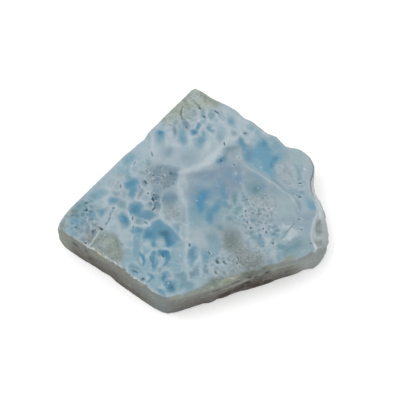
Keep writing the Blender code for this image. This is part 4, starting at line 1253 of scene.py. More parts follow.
# %% Draw the veins
VEINS = [
    ("white", 0.85, 0.6, [
        (-4.8, 7.6, 0.4), (-2.5, 8.3, 0.5), (-0.4, 8.8, 0.7), (1.3, 9.9, 0.9), (2.6, 11.4, 1.1),
        (3.9, 12.9, 1.0), (4.9, 14.2, 0.7), (6.0, 15.7, 0.6), (7.3, 16.5, 0.8), (8.8, 17.0, 0.4),
    ]),
    ("white", 0.5, 0.9, [
        (-1.2, 8.6, 0.3), (-3.2, 7.8, 0.6), (-4.2, 6.2, 0.7), (-4.4, 4.0, 0.7), (-4.1, 1.8, 0.6),
        (-3.7, 0.2, 0.4),
    ]),
    ("bright", 0.35, 0.5, [(0.2, 9.1, 0.3), (1.8, 10.3, 0.5), (3.2, 12.1, 0.5), (4.6, 13.8, 0.3)]),
    ("white", 0.65, 0.6, [
        (-4.6, 7.4, 0.4), (-5.0, 4.2, 0.5), (-4.6, 1.6, 0.5), (-3.9, 0.0, 0.5), (-3.3, -1.6, 0.3),
        (-2.9, -3.6, 0.3), (-2.7, -6.2, 0.3), (-2.9, -9.0, 0.35), (-3.2, -12.0, 0.35),
        (-3.3, -15.0, 0.3), (-2.6, -17.5, 0.25),
    ]),
    ("white", 0.6, 0.4, [
        (-9.3, -3.2, 0.3), (-8.4, -5.3, 0.35), (-6.6, -6.9, 0.4), (-5.0, -8.4, 0.35),
        (-4.0, -10.2, 0.3),
    ]),
    ("white", 0.6, 0.3, [
        (-8.8, 1.6, 0.2), (-9.0, 0.0, 0.25), (-8.8, -1.6, 0.25), (-9.2, -3.2, 0.3),
    ]),
    ("white", 0.75, 0.3, [
        (-16.6, -2.6, 0.2), (-16.0, -4.6, 0.35), (-15.5, -6.3, 0.3), (-13.9, -7.0, 0.2),
        (-12.2, -6.8, 0.25),
    ]),
    ("white", 0.45, 0.5, [
        (-12.9, -8.2, 0.15), (-13.6, -10.5, 0.2), (-12.4, -12.4, 0.4), (-9.6, -12.8, 0.45),
        (-6.5, -12.7, 0.45),
    ]),
    ("white", 0.8, 0.13, [
        (10.6, 9.5, 0.06), (12, 8.3, 0.1), (14, 6.8, 0.12), (16, 5.2, 0.12), (18, 3.6, 0.1),
        (19.3, 2.5, 0.1), (20.6, 1.3, 0.12), (21.7, 0.0, 0.1), (22.3, -1.4, 0.08),
        (22.7, -3.0, 0.04),
    ]),
    ("white", 0.8, 0.25, [
        (19.0, -6.6, 0.3), (20.4, -7.6, 0.7), (21.4, -8.6, 0.8), (20.2, -9.5, 0.8),
        (18.8, -10.2, 0.3),
    ]),
    ("teal", 0.6, 0.3, [
        (18.5, -12.4, 0.2), (19.6, -11.4, 0.4), (21.4, -10.4, 0.3), (22.9, -9.7, 0.1),
    ]),
    ("white", 0.5, 0.4, [(0.0, -14.4, 0.3), (0.1, -17.0, 0.35), (0.2, -19.6, 0.3)]),
    ("soft white", 0.6, 0.3, [(-9.2, -15.0, 0.15), (-9.2, -17.0, 0.2), (-9.5, -19.0, 0.2)]),
    ("deep blue", 0.9, 0.25, [
        (-13.3, -13.7, 0.25), (-12.7, -14.6, 0.35), (-12.5, -15.7, 0.35), (-12.8, -16.9, 0.2),
    ]),
    ("slate", 0.6, 0.2, [
        (-13.9, -14.9, 0.08), (-14.0, -15.7, 0.14), (-13.7, -16.6, 0.14), (-13.1, -17.1, 0.1),
    ]),
    ("white", 0.5, 0.2, [(-13.4, -14.6, 0.06), (-13.15, -15.3, 0.14), (-13.3, -16.3, 0.1)]),
    ("dark blue", 0.5, 0.2, [(-10.9, -14.6, 0.1), (-10.7, -15.6, 0.16), (-10.4, -17.2, 0.14)]),
    ("white", 0.6, 0.2, [
        (-10.3, -14.2, 0.05), (-9.85, -14.9, 0.12), (-9.8, -15.7, 0.12), (-10.0, -16.5, 0.06),
    ]),
    ("white", 0.45, 0.2, [(-8.9, -14.6, 0.06), (-8.4, -15.4, 0.15), (-8.6, -16.2, 0.08)]),
    ("white", 0.5, 0.2, [(-8.2, -10.2, 0.08), (-8.0, -11.0, 0.15), (-8.4, -11.8, 0.1)]),
    ("slate", 0.5, 0.2, [(-12.8, -10.6, 0.1), (-12.9, -11.6, 0.14), (-12.3, -12.3, 0.1)]),
    ("white", 0.6, 0.2, [(-11.6, -19.2, 0.1), (-11.2, -19.9, 0.2), (-11.7, -20.5, 0.1)]),
    ("deep blue", 0.9, 0.25, [
        (-8.9, -13.2, 0.3), (-7.6, -13.6, 0.5), (-7.1, -14.8, 0.5), (-7.3, -16.0, 0.4),
        (-8.1, -16.8, 0.2),
    ]),
    ("blue", 0.6, 0.2, [(-11.6, -15.3, 0.15), (-11.1, -15.9, 0.2), (-10.7, -16.8, 0.15)]),
    ("deep blue", 0.75, 0.25, [
        (-11.5, -18.7, 0.2), (-10.7, -19.2, 0.3), (-10.4, -20.0, 0.3), (-11.2, -20.6, 0.2),
        (-12.0, -20.9, 0.15),
    ]),
    ("teal", 0.8, 0.5, [
        (-5.4, -19.2, 0.4), (-4.3, -19.2, 0.7), (-3.5, -20.2, 0.7), (-3.6, -21.6, 0.6),
        (-4.6, -22.4, 0.4),
    ]),
    ("slate", 0.7, 0.25, [
        (-19.9, -1.8, 0.15), (-20.5, -3.8, 0.2), (-20.9, -5.4, 0.25), (-21.2, -6.4, 0.25),
    ]),
    ("milky", 0.7, 0.2, [(-19.4, -2.0, 0.1), (-19.9, -4.0, 0.15), (-20.2, -5.4, 0.15)]),
    ("dark", 0.5, 0.25, [(-22.9, -6.9, 0.15), (-22.3, -7.3, 0.3), (-21.9, -7.6, 0.15)]),
    ("bright", 0.8, 0.2, [(-28.0, -10.4, 0.08), (-26.6, -11.3, 0.18), (-25.4, -12.0, 0.12)]),
    ("bright", 0.9, 0.18, [
        (-22.6, -7.9, 0.1), (-23.2, -9.0, 0.2), (-24.0, -10.6, 0.2), (-24.9, -12.2, 0.2),
    ]),
    ("dark", 0.5, 0.18, [
        (21.6, -6.3, 0.06), (20.8, -7.1, 0.12), (20.0, -8.0, 0.12), (19.4, -8.7, 0.06),
    ]),
    ("slate", 0.5, 0.3, [
        (15.8, -6.9, 0.2), (15.6, -7.9, 0.2), (16.2, -8.8, 0.25), (17.1, -8.9, 0.25),
    ]),
    ("green", 0.75, 0.2, [
        (-4.3, 26.2, 0.12), (-4.5, 25.0, 0.22), (-4.5, 23.8, 0.24), (-4.2, 22.4, 0.15),
    ]),
    ("pale sage", 0.8, 0.2, [(-3.9, 25.6, 0.08), (-3.95, 24.4, 0.22), (-3.9, 23.0, 0.12)]),
    ("green", 0.55, 0.2, [(-1.6, 27.9, 0.1), (-0.7, 26.9, 0.2), (0.1, 25.4, 0.3)]),
    ("dark teal", 0.6, 0.2, [(3.4, 25.0, 0.15), (4.1, 24.5, 0.22), (4.7, 23.8, 0.12)]),
    ("dark teal", 0.5, 0.2, [(0.6, 23.8, 0.15), (1.0, 23.2, 0.3), (1.5, 22.8, 0.15)]),
    ("teal", 0.7, 0.2, [
        (2.0, 22.8, 0.12), (2.2, 24.2, 0.2), (2.9, 25.2, 0.2), (3.8, 24.9, 0.2), (4.8, 23.8, 0.14),
    ]),
    ("white", 0.5, 0.3, [(1.7, 24.8, 0.12), (1.9, 23.2, 0.16), (2.2, 21.4, 0.16)]),
    ("white", 0.6, 0.3, [
        (3.7, 23.6, 0.12), (4.2, 22.6, 0.2), (5.0, 21.8, 0.2), (6.2, 20.4, 0.25), (6.9, 18.6, 0.25),
    ]),
    ("white", 0.5, 0.3, [(6.0, 24.8, 0.2), (6.6, 23.2, 0.25), (6.5, 21.6, 0.15)]),
    ("white", 0.5, 0.3, [(9.2, 23.2, 0.15), (9.6, 21.4, 0.2), (9.4, 19.4, 0.25), (9.9, 17.9, 0.2)]),
]


def line_cover(x, y, line, soft):
    best = np.full(len(x), -FAR_AWAY)
    for (*start, start_width), (*end, end_width) in zip(line, line[1:]):
        part, gap = beside(x, y, start, end)
        best = np.maximum(best, start_width + (end_width - start_width) * part - gap)
    return fade(best, -soft, soft)


for name, strength, soft, line in VEINS:
    cover = line_cover(bent_x, bent_y, line, soft) * (0.85 + 0.3 * fine)
    paint = lay(paint, name, strength * np.clip(cover, 0.0, 1.0))
print("veins:", len(VEINS))

# %% [markdown]
# A few grains shine out of the polish as nearly white specks, each a place and a size. When
# they are on, all colours are moved a little away from the ground's, because so many soft
# strokes laid over each other have dulled them.

# %% Draw the specks and lift the contrast
SPECKS = [
    (-0.9, -0.35, 0.4), (13.35, 3.1, 0.4), (14.1, -0.7, 0.6), (14.1, 8.8, 0.5), (-11.0, 5.9, 0.5),
    (-12.0, 7.5, 0.5), (-10.6, 1.8, 0.4), (-11.2, 0.8, 0.4), (-7.15, -21.4, 0.5),
    (-4.5, -14.3, 0.5), (24.4, 8.4, 0.7), (8.3, 7.3, 0.5), (7.3, -19.8, 0.5), (4.3, -21.5, 0.5),
    (-3.0, 22.2, 0.5), (23.4, 4.1, 0.5), (23.1, 0.5, 0.4), (-0.2, 22.0, 0.6), (16.4, -2.4, 0.5),
    (9.5, 4.6, 0.4), (-21.5, -9.0, 0.4), (12.9, -12.5, 0.4), (8.9, -16.8, 0.4), (-23.9, -6.0, 0.4),
]
SPECK_STRENGTH = 0.8
CONTRAST = 1.08

for x, y, size in SPECKS:
    reach = across(bent_x, bent_y, (x, y, size, size, 0.0)) + 0.3 * fine
    paint = lay(paint, "bright", SPECK_STRENGTH * (1.0 - fade(reach, 0.4, 1.2)))
paint = to_array("ground") + CONTRAST * (paint - to_array("ground"))
print("specks:", len(SPECKS), "mean colour:", paint[on_face].mean(axis=0).round(0))

# %% [markdown]
# The sides were never polished. They show the grey rock that the blue grew in, browner
# towards the foot, and darker there with painted shade, as the floor keeps light from the foot.
# They get colours of their own, and three of them are seen well enough to be drawn on: there
# a place is how far along the side it is, and how high.

# %% Name the sides and their colours
SIDE_COLOURS = {
    "side top": (122, 124, 119), "side middle": (109, 108, 103), "side foot brown and shade": (93, 90, 85),
    "undercut brown and shade": (88, 84, 79), "corner olive": (126, 132, 124), "corner grey": (118, 125, 124),
    "end grey": (143, 147, 145), "hollow grey": (148, 158, 159), "chalk": (190, 199, 203),
    "rim sage": (137, 143, 134), "rim grey": (138, 143, 142), "rim olive": (141, 145, 132),
    "rim shade": (122, 126, 118), "rim grain": (196, 203, 201), "rim cream": (170, 173, 160),
    "rim side shade": (102, 106, 100), "ledge highlight": (152, 149, 142), "side olive": (124, 126, 106),
    "hollow shade": (126, 135, 134), "fleck": (56, 60, 60),
}
COLOURS.update(SIDE_COLOURS)


def hump(x, y, oval):
    """A soft spot: 1 in its middle, nearly 0 one oval's reach away."""
    return np.exp(-1.5 * across(x, y, oval) ** 2)


front = outward[:, 1] < -0.6
end_face = np.maximum(fade(outward[:, 0], 0.75, 0.95),
                      fade(outward[:, 0], 0.2, 0.4) * fade(map_x, 23.5, 25.0))
SIDES = {
    "right end": (end_face * fade(11.5 - map_y, 0.0, 3.5), map_y),
    "front left": (front * (outward[:, 0] < -0.2), map_x),
    "front right": (front * (outward[:, 0] > -0.2), map_x),
}
height = points[:, 2] / THICKNESS
below = THICKNESS - points[:, 2]
print("side colours:", len(SIDE_COLOURS))

# %% [markdown]
# The rock has streaks that follow the layers of the slab, so its clouds are stretched along
# it. It darkens towards the foot, partly with painted shade from the floor. It is bluish at
# the front corner and darkest in the hollow of the front right side, where brown rock and
# painted shade under the ledge are laid as one colour. On the back, where the blue comes
# through, the markings of the top run down into it.

# %% Colour the bare rock
streak = cloud(points * (0.3, 0.3, 1.9), 1.0, 41.0)
streak = streak + 0.7 * cloud(points * (0.3, 0.3, 1.9), 0.4, 43.0)
blotch = cloud(points, 1.8, 47.0)


def layered_rock(paint):
    level = height + 0.2 * streak
    # The foot colour is brown rock with painted shade near the floor; the rock lightens upwards.
    rock = np.tile(to_array("side foot brown and shade"), (len(points), 1))
    rock = lay(rock, "side middle", fade(level, 0.1, 0.55))
    rock = lay(rock, "side top", fade(level, 0.55, 1.0))
    rock = lay(rock, "side foot brown and shade", 0.5 * fade(-streak, 0.25, 0.6) * fade(0.9 - height, 0.0, 0.4))
    rock = lay(rock, "corner grey", 0.8 * hump(map_x, map_y, (-8.5, -24.0, 9.0, 9.0, 0.0)))
    rock = lay(rock, "corner olive", 0.8 * fade(-map_x, 28.0, 31.0))
    # Below the ledge of the front right side: brown rock together with the ledge's shadow, as
    # painted shade.
    step = hump(map_x, map_y, (11.0, -20.0, 13.0, 13.0, 0.0)) * fade(0.48 - level, 0.0, 0.2)
    rock = lay(rock, "undercut brown and shade", np.clip(1.3 * step, 0.0, 1.0))
    rock = lay(rock, "end grey", 0.8 * fade(map_x, 19.0, 24.5) * (outward[:, 1] < 0.0))
    rock = lay(rock, "corner grey", 0.6 * broken * fade(blotch, -0.3, 0.3))
    back = fade(outward[:, 1], -0.1, 0.3)
    blue = 0.45 * back * fade(height + 0.2 * blotch, 0.15, 0.9)
    return rock + (paint - rock) * blue[:, None]


rock = layered_rock(paint)
print("mean rock colour:", rock.mean(axis=0).round(0))

# %% [markdown]
# On the rock lie single things that the eye catches: chalky grains and a grey hollow on the
# right end, with painted shade at the hollow's edges, brown and olive stains, a painted
# highlight along the edge of a ledge, and dark flecks. Each is a soft spot with its place
# along the side, its height, its length, how tall it is and its strength.

# %% Draw on the sides
SIDE_SPOTS = [
    ("chalk", "right end", [
        (-0.3, 5.0, 3.4, 4.4, 0.7), (-3.4, 6.2, 3.4, 2.6, 0.8), (-8.2, 6.0, 1.8, 2.2, 0.7),
        (-11.8, 6.0, 2.2, 1.8, 0.8),
    ]),
    ("hollow grey", "right end", [(-6.8, 5.4, 5.0, 4.8, 0.85), (-10.2, 4.6, 2.6, 3.0, 0.85)]),
    # The darker edges of the right end's hollows are painted shade.
    ("hollow shade", "right end", [
        (-10.6, 5.6, 1.3, 1.5, 1.0), (-5.6, 5.2, 1.2, 0.8, 0.5), (-7.2, 4.6, 0.8, 1.2, 0.5),
    ]),
    ("side foot brown and shade", "front left", [(-24.5, 3.2, 5.0, 3.0, 0.7), (-22.0, 1.2, 7.0, 2.0, 0.6)]),
    ("side olive", "front left", [(-22.4, 6.3, 3.8, 1.3, 0.8), (-17.6, 6.4, 1.6, 0.9, 0.6)]),
    ("side middle", "front right", [(17.0, 6.2, 6.0, 1.8, 0.7)]),
    ("side foot brown and shade", "front right", [(18.8, 3.0, 3.4, 1.6, 0.8), (21.4, 3.1, 2.4, 1.2, 0.8)]),
    ("corner grey", "front right", [(24.4, 5.4, 2.6, 2.0, 0.8)]),
    ("corner olive", "front left", [(-22.4, 5.8, 3.4, 1.4, 0.6), (-30.0, 5.8, 2.4, 1.6, 0.5)]),
    ("corner grey", "front left", [(-12.0, 4.6, 8.0, 3.0, 0.6)]),
]
SIDE_FLECKS = [
    ("fleck", "front left", [
        (-28.3, 5.3, 1.5, 1.5, 0.8), (-25.7, 5.5, 1.2, 1.1, 0.6), (-25.2, 2.7, 1.6, 1.2, 0.6),
        (-19.0, 3.4, 1.1, 1.1, 0.6),
    ]),
    ("fleck", "front right", [
        (3.7, 4.9, 2.0, 1.0, 0.6), (8.0, 6.0, 2.6, 0.9, 0.6), (11.0, 6.3, 1.2, 1.2, 0.8),
        (12.5, 5.6, 1.2, 1.3, 0.9), (15.0, 5.9, 1.5, 1.4, 1.0), (19.6, 3.3, 1.8, 1.0, 0.5),
    ]),
]
SIDE_LEDGE = [
    (1.5, 4.4, 0.05), (6.6, 4.6, 0.15), (8.5, 4.8, 0.15), (10.2, 5.6, 0.15), (12.8, 6.3, 0.12),
    (15.2, 6.7, 0.05),
]


def lay_spots(paint, rows):
    for name, where, spots in rows:
        part, along = SIDES[where]
        for *spot, strength in spots:
            paint = lay(paint, name, strength * part * hump(along, points[:, 2], (*spot, 0.0)))
    return paint


def draw_on_rock(rock):
    right_end = SIDES["right end"][0]
    rock = lay(rock, "end grey", 0.9 * right_end)
    rock = lay(rock, "chalk", 0.55 * right_end * fade(height + 0.25 * blotch, 0.3, 0.7))
    # The pale line along the ledge of the front right side is a painted highlight where its edge
    # catches the light.
    ledge = line_cover(map_x, points[:, 2], SIDE_LEDGE, 0.25)
    rock = lay(rock, "ledge highlight", 0.9 * SIDES["front right"][0] * ledge)
    rock = lay_spots(rock, SIDE_SPOTS)
    low_corner = fade(map_x, 23.5, 24.8) * fade(-map_y + 0.85 * below, 12.9, 13.7)
    rock = lay(rock, "end grey", 0.95 * low_corner)
    return lay(rock, "corner grey", 0.4 * low_corner)


def side_cover():
    """Where a point belongs to the side: below the rim, and a little over it in front."""
    side = fade(below, 0.05, 0.35) * fade(-inside, -0.5, -0.2)
    side = np.maximum(side, (height < 0.8).astype(float))
    edge = SIDES["front left"][0] + SIDES["front right"][0] * fade(-map_x, 3.0, 5.0)
    return np.maximum(side, edge * fade(-inside, -0.05, 0.15))


side = side_cover()
paint = paint + (draw_on_rock(rock) - paint) * side[:, None]
print("side points:", int((side > 0.5).sum()))

# %% [markdown]
# Along the front right rim the grey and green matrix shows through the polish, in a band that
# is wide in some places and narrow in others. From about 9 mm along the rim, the band also
# takes the darker grey of the shaded side below the rim, as painted shade. The band's width
# is listed at places along the rim, and a cloud makes its inner edge wander.

# %% Stain and shade the front right rim
RIM_PLACES = (-7.0, -3.0, 1.0, 6.0, 10.0, 14.0, 18.0, 20.0, 22.0, 24.0, 26.0)
RIM_BAND = (0.1, 0.15, 0.7, 0.7, 0.9, 0.8, 0.5, 0.4, 0.1, 0.1, 0.2)


def strip(values, inner, outer):
    """1 where values are near zero, fading out from inner to outer."""
    return 1.0 - fade(np.abs(values), inner, outer)


def stain_and_shade_rim(paint):
    wander = 0.3 * cloud(points, 1.6, 61.0) + 0.2 * cloud(points, 0.6, 67.0)
    edge = inside + wander * (inside < 3.0)
    high = fade(points[:, 2], THICKNESS - 1.0, THICKNESS - 0.3)
    right = high * fade(-outward[:, 1], 0.7, 0.85) * (outward[:, 0] > 0.0)
    wide = np.interp(map_x, RIM_PLACES, RIM_BAND)
    band = right * (1.0 - fade(edge, 0.6 * wide, 1.1 * wide))
    paint = lay(paint, "rim sage", 0.8 * band)
    paint = lay(paint, "rim olive", 0.8 * band * hump(map_x, map_y, (6.0, -20.5, 6.0, 4.0, 15.0)))
    # From here on the band is also painted shade: the darker grey of the shaded side below the rim.
    paint = lay(paint, "rim shade", 0.9 * band * fade(map_x, 8.5, 10.5))
    paint = lay(paint, "rim side shade", 0.8 * band * hump(map_x, map_y, (11.0, -18.9, 5.5, 2.6, 18.0)))
    paint = lay(paint, "rim grey", 0.6 * band * fade(map_x, 14.5, 17.0))
    paint = lay(paint, "rim grey", 0.9 * band * fade(map_x, 19.5, 23.0))
    cream = fade(cloud(points, 0.7, 71.0), -0.3, 0.2) * fade(map_x, 2.5, 5.0)
    cream = cream * (1.0 - fade(map_x, 8.5, 9.8))
    paint = lay(paint, "rim cream", 0.6 * right * cream * strip(inside - 0.3, 0.1, 0.4))
    corner = hump(map_x, map_y, (-12.9, -21.5, 2.8, 1.1, -35.0))
    paint = lay(paint, "rim grey", 0.7 * high * corner)
    return lay(paint, "green", 0.6 * band * hump(map_x, map_y, (3.0, -21.0, 3.4, 3.0, 15.0)))


paint = stain_and_shade_rim(paint)
print("widest band, mm:", max(RIM_BAND))

# %% [markdown]
# A freshly chipped rim is pale, because broken grains scatter the light. A cloud decides where
# grains are broken. At the right end the break runs on down the side, so the chalky line is
# wider there and leans over the edge towards the lower corner.

# %% Chalk the chipped rims
def chalk_front(paint, grains):
    high = fade(points[:, 2], THICKNESS - 0.9, THICKNESS - 0.4)
    front_left = fade(-outward[:, 1], 0.7, 0.85) * (outward[:, 0] < -0.3)
    front_left = front_left * (0.3 + 0.7 * fade(map_x, -27.5, -26.0))
    wander = 0.22 * cloud(points, 0.8, 73.0)
    near = strip(inside - 0.1 + wander, 0.08, 0.34)
    paint = lay(paint, "rim grain", near * high * front_left * grains)
    behind = fade(outward[:, 1], 0.3, 0.5) * fade(-map_y, -21.0, -17.0)
    paint = lay(paint, "milky", 0.4 * behind * high * strip(inside, 0.15, 0.6))
    return paint, high


def chalk_right(paint, grains, high):
    right_edge = fade(outward[:, 0], 0.8, 0.9) * fade(map_y, 0.8, 2.0)
    chalky = 0.5 * right_edge * fade(5.5 - map_y, 0.0, 3.5) * fade(-inside, -0.4, 0.2)
    paint = lay(paint, "chalk", chalky * fade(points[:, 2], 1.5, 5.0))
    # A thin dark line just under the upper right rim is painted shade on the side.
    paint = lay(paint, "side foot brown and shade", 0.5 * right_edge * high * strip(inside + 0.3, 0.1, 0.3))
    right_end = fade(map_x, 24.4, 25.4) * fade(-map_y, -1.4, 0.4) * fade(outward[:, 0], 0.5, 0.7)
    right_end *= fade(map_y, -13.6, -12.6)
    lean = 0.4 * fade(-map_y, 9.5, 11.5)
    white = strip(inside + 0.02 + lean, 0.1, 0.42)
    cover = (0.55 + 0.4 * grains) * white * right_end * fade(points[:, 2], 4.6, 5.6)
    return lay(paint, "chalk", cover)


grains = fade(cloud(points, 0.9, 53.0) + 0.5 * cloud(points, 0.3, 57.0), -0.6, 0.1)
paint, high = chalk_front(paint, grains)
paint = chalk_right(paint, grains, high)
print("broken grains, share of all points:", round(float(grains.mean()), 2))

# %% [markdown]
# Last on the sides come the dark flecks, which lie on top of the chalk, and three pale grains
# that stick out of the front right rim.

# %% Add the flecks and the rim's grains
RIM_GRAINS = [(2.7, -22.1, 0.9, 0.5), (4.5, -21.4, 0.8, 0.5), (7.3, -20.0, 1.0, 0.6)]
GRAIN_TURN = 20.0
GRAIN_STRENGTH = 0.55

flecked = lay_spots(paint, SIDE_FLECKS)
paint = paint + (flecked - paint) * side[:, None]
for spot in RIM_GRAINS:
    grain = hump(map_x, map_y, (*spot, GRAIN_TURN)) * (points[:, 2] > 5.0)
    paint = lay(paint, "rim grain", GRAIN_STRENGTH * grain)
print("flecks:", sum(len(spots) for _, _, spots in SIDE_FLECKS), "grains:", len(RIM_GRAINS))

# %% [markdown]
# Pits are darkened with painted shade, the more the deeper a point lies, and the thin walls
# round them are made pale, partly as pale stone and partly as a painted highlight on the lit
# lip. Both follow from the shape: how deep a point lies, and how near a pit is.

# %% Paint shade into the pits and highlights on their lips
LIP_WIDTH = 0.32
LIP_AWAY = 0.25


def shade_pits_and_light_lips(paint):
    gap = near_pit(points, pit_tree)
    lip = np.exp(-((gap - LIP_AWAY) / LIP_WIDTH) ** 2) * on_face * (pit_depth < 0.03)
    lip *= fade(cloud(points, 0.6, 59.0), -0.35, 0.35) * fade(paint.mean(axis=1), 125.0, 160.0)
    paint = lay(paint, "white", 0.55 * lip)
    # The darkening of the pits' bottoms is painted shade.
    return lay(paint, "dark", 0.5 * fade(pit_depth, 0.05, 0.3) * on_face)


paint = shade_pits_and_light_lips(paint)
print("points in a pit:", int((pit_depth > 0.05).sum()))

# %% [markdown]
# The colours go onto the points as one attribute that the material reads. Two numbers go with
# it: how speckled the stone is there, and how polished. Vertex attributes hold detail as
# small as the net, and the material adds what is finer.

# %% Store the finish on the points
LIGHT_LEVEL = 1.05
SIDE_LIGHT = 0.84
POLISH_VEIL = 0.047
SPECKLED = [
    (13.5, -3.0, 9.0, 12.0, 0, 1.0), (10.0, -15.0, 12.0, 9.0, 0, 1.0),
    (-9.5, 6.0, 10.0, 7.5, 0, 0.9), (-6.5, -3.2, 5.0, 4.4, 0, 0.8), (-24.5, -8.0, 6.0, 8.0, 0, 0.8),
    (7.3, -11.0, 6.0, 6.0, 0, 0.9), (-0.5, 25.0, 14.0, 12.0, 0, 0.5), (20.0, 7.0, 6.0, 8.0, 0, 0.8),
    (-20.5, -12.0, 8.0, 7.0, 0, 0.45), (0.0, -19.0, 30.0, 8.0, 15, 0.5),
    (-10.5, 0.5, 4.0, 5.0, 0, 0.6),
]


def speckle_strength():
    most = np.full(len(points), 0.1)
    for *oval, strength in SPECKLED:
        reach = across(map_x, map_y, oval)
        most = np.maximum(most, strength * (1.0 - fade(reach, 0.7, 1.2)))
    return np.maximum(most, 0.4 * side)


def to_light(steps):
    """The share of light that the stone must give back to be seen in this colour."""
    part = np.clip(steps / 255.0, 0.0, 1.0)
    seen = np.where(part <= 0.04045, part / 12.92, ((part + 0.055) / 1.055) ** 2.4)
    level = LIGHT_LEVEL + (SIDE_LIGHT - LIGHT_LEVEL) * side
    return np.clip((seen - POLISH_VEIL) / level[:, None], 0.01, 0.9)


def store(data, name, values):
    if values.ndim == 2:
        layer = data.attributes.new(name, "FLOAT_COLOR", "POINT")
        layer.data.foreach_set("color", np.column_stack([values, np.ones(len(values))]).ravel())
    else:
        data.attributes.new(name, "FLOAT", "POINT").data.foreach_set("value", values)


polish = (1.0 - side) * (1.0 - fade(pit_depth, 0.02, 0.12) * on_face)
polish *= points[:, 2] > 1.0
store(stone_mesh, "stone_colour", to_light(paint))
store(stone_mesh, "speckled", speckle_strength())
store(stone_mesh, "polish", polish)
print("polished share:", round(float(polish.mean()), 2))

# %% [markdown]
# Materials are wired from nodes, and the same few kinds come again and again. A helper makes
# a node with its settings and its inputs, and short names stand for the kinds that the stone
# needs: a product, a sum, a soft ramp and a colour laid over another.

# %% Helpers for wiring a finish
MIX_A, MIX_B, MIX_OUT = 6, 7, 2


def new_finish(name):
    material = bpy.data.materials.new(name)
    material.use_nodes = True
    return material, material.node_tree, material.node_tree.nodes["Principled BSDF"]


def feed(tree, socket, value):
    """Link a socket to another node's output, or set it to a fixed value."""
    if isinstance(value, bpy.types.NodeSocket):
        tree.links.new(value, socket)
    else:
        socket.default_value = value


def add_node(tree, kind, inputs, **settings):
    node = tree.nodes.new(kind)
    for key, value in settings.items():
        setattr(node, key, value)
    for socket, value in inputs.items():
        feed(tree, node.inputs[socket], value)
    return node


def combine(tree, operation, a, b):
    return add_node(tree, "ShaderNodeMath", {0: a, 1: b}, operation=operation).outputs[0]


def ramp(tree, value, low, high, start=0.0, end=1.0):
    limits = {"From Min": low, "From Max": high, "To Min": start, "To Max": end}
    inputs = {"Value": value, **limits}
    made = add_node(tree, "ShaderNodeMapRange", inputs, interpolation_type="SMOOTHSTEP")
    return made.outputs["Result"]


def tinted(tree, colour, where, strength, tint):
    """The colour with a tint laid over it, where and as strongly as given."""
    share = combine(tree, "MULTIPLY", where, strength)
    inputs = {0: share, MIX_A: colour, MIX_B: (*tint, 1.0)}
    return add_node(tree, "ShaderNodeMix", inputs, data_type="RGBA").outputs[MIX_OUT]


# %% [markdown]
# The material starts from the brushed colours and adds the grain of the stone: a soft mottle
# a millimetre wide, and salt-and-pepper specks in the speckled places. Roughness follows the
# polish. A bump gives the sawn sides their tooth. Noise in the object's own measure does all
# of this at any nearness, which an image of the stone would not.

# %% Make the larimar finish
SHADE_TINT = (0.11, 0.17, 0.21)
MILK_TINT = (0.52, 0.60, 0.64)
SALT_TINT = (0.50, 0.57, 0.60)
PEPPER_TINT = (0.10, 0.13, 0.14)
SAWN_ROUGH = 0.82
POLISHED_ROUGH = 0.24
STONE_IOR = 1.55
TOOTH_DEPTH = 0.12


def larimar_finish():
    material, tree, shader = new_finish("larimar")
    place = tree.nodes.new("ShaderNodeTexCoord").outputs["Object"]

    def read(name, output):
        return add_node(tree, "ShaderNodeAttribute", {}, attribute_name=name).outputs[output]

    def grain(size, detail):
        inputs = {"Scale": 1.0 / (size * MM), "Detail": detail, "Vector": place}
        return add_node(tree, "ShaderNodeTexNoise", inputs).outputs["Fac"]

    speckled, polish = read("speckled", "Fac"), read("polish", "Fac")
    mottle, salt, pepper = grain(1.4, 3.0), grain(0.5, 2.0), grain(0.36, 1.0)

    colour = read("stone_colour", "Color")
    colour = tinted(tree, colour, ramp(tree, mottle, 0.48, 0.3), 0.10, SHADE_TINT)
    colour = tinted(tree, colour, ramp(tree, mottle, 0.54, 0.74), 0.12, MILK_TINT)
    salty = combine(tree, "MULTIPLY", ramp(tree, salt, 0.54, 0.76), speckled)
    colour = tinted(tree, colour, salty, 0.3, SALT_TINT)
    peppery = combine(tree, "MULTIPLY", ramp(tree, pepper, 0.40, 0.27), speckled)
    colour = tinted(tree, colour, peppery, 0.5, PEPPER_TINT)
    feed(tree, shader.inputs["Base Color"], colour)

    matt = ramp(tree, polish, 0.0, 1.0, SAWN_ROUGH, POLISHED_ROUGH)
    matt = combine(tree, "ADD", matt, ramp(tree, salt, 0.3, 0.7, -0.04, 0.06))
    feed(tree, shader.inputs["Roughness"], matt)
    feed(tree, shader.inputs["IOR"], STONE_IOR)

    relief = combine(tree, "ADD", salt, combine(tree, "MULTIPLY", mottle, 0.8))
    strength = ramp(tree, polish, 0.0, 1.0, 0.9, 0.06)
    inputs = {"Distance": TOOTH_DEPTH * MM, "Height": relief, "Strength": strength}
    tooth = add_node(tree, "ShaderNodeBump", inputs)
    feed(tree, shader.inputs["Normal"], tooth.outputs["Normal"])
    return material


larimar = larimar_finish()
for mesh in (stone_mesh, solid.data):
    mesh.materials.clear()
    mesh.materials.append(larimar)
print("material nodes:", len(larimar.node_tree.nodes))

# %% [markdown]
# The finished stone is one object. It rides on the slab's body and stands for the plain solid,
# which is hidden.

# %% Put the stone in the scene
stone = add_object("polished_larimar", stone_mesh)
stone_mesh.shade_smooth()
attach(stone, "root")
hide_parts("larimar_slab")
triangles = sum(len(face.vertices) - 2 for face in stone_mesh.polygons)
print("triangles:", triangles)

# %% [markdown]
# The floor is a plain pale sheet, as in a product photo. It lies a hair below the slab, so
# that the two flat surfaces don't fight for the same place. A faint grain keeps it from
# looking like a void, and a weak glow of its own keeps it white beside the stone.

# %% Lay the floor
FLOOR_SIDE = 3.0
FLOOR_GAP = 0.02
PAPER_SHADES = (0.93, 0.96)
PAPER_ROUGH = 0.9
PAPER_GLOW = 0.2
FIBRE_SCALE = 900.0


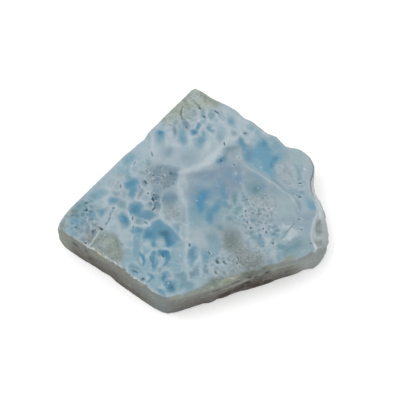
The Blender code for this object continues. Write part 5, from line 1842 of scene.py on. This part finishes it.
def lay_floor():
    mesh = bmesh.new()
    bmesh.ops.create_grid(mesh, x_segments=1, y_segments=1, size=0.5 * FLOOR_SIDE)
    data = bpy.data.meshes.new("floor")
    mesh.to_mesh(data)
    mesh.free()
    floor = add_object("floor", data)
    floor.location.z = -FLOOR_GAP * MM
    return floor


def paper_finish():
    material, tree, shader = new_finish("white_paper")
    shader.inputs["Roughness"].default_value = PAPER_ROUGH
    shader.inputs["Emission Color"].default_value = (1.0, 1.0, 1.0, 1.0)
    shader.inputs["Emission Strength"].default_value = PAPER_GLOW
    fibres = add_node(tree, "ShaderNodeTexNoise", {"Scale": FIBRE_SCALE})
    tint = add_node(tree, "ShaderNodeValToRGB", {"Fac": fibres.outputs["Fac"]})
    for end, shade in zip(tint.color_ramp.elements, PAPER_SHADES):
        end.color = (shade, shade, shade, 1.0)
    feed(tree, shader.inputs["Base Color"], tint.outputs["Color"])
    return material


floor = lay_floor()
floor.data.materials.append(paper_finish())
print("floor side, m:", FLOOR_SIDE)

# %% [markdown]
# Light comes from a wide soft panel overhead and a little behind, as in a light tent, with
# white all round. The top face is then evenly lit, the front sides are darker, and the shadow
# is faint. The Standard view shows the colours as they were mixed.

# %% Light the stone
AROUND = 0.93
PANEL_PLACE = (-0.36, 0.12, 0.50)
PANEL_SIZE = 0.45
PANEL_POWER = 0.85


def soft_panel(name, place, size, power):
    data = bpy.data.lights.new(name, "AREA")
    data.shape = "DISK"
    data.size = size
    data.energy = power
    panel = add_object(name, data)
    panel.location = place
    panel.rotation_euler = (-Vector(place)).to_track_quat("-Z", "Y").to_euler()
    return panel


def white_surround():
    world = bpy.data.worlds.new("white_surround")
    world.use_nodes = True
    background = world.node_tree.nodes["Background"]
    background.inputs["Color"].default_value = (1.0, 1.0, 1.0, 1.0)
    background.inputs["Strength"].default_value = AROUND
    bpy.context.scene.world = world


soft_panel("overhead_panel", PANEL_PLACE, PANEL_SIZE, PANEL_POWER)
white_surround()
bpy.context.scene.view_settings.view_transform = "Standard"
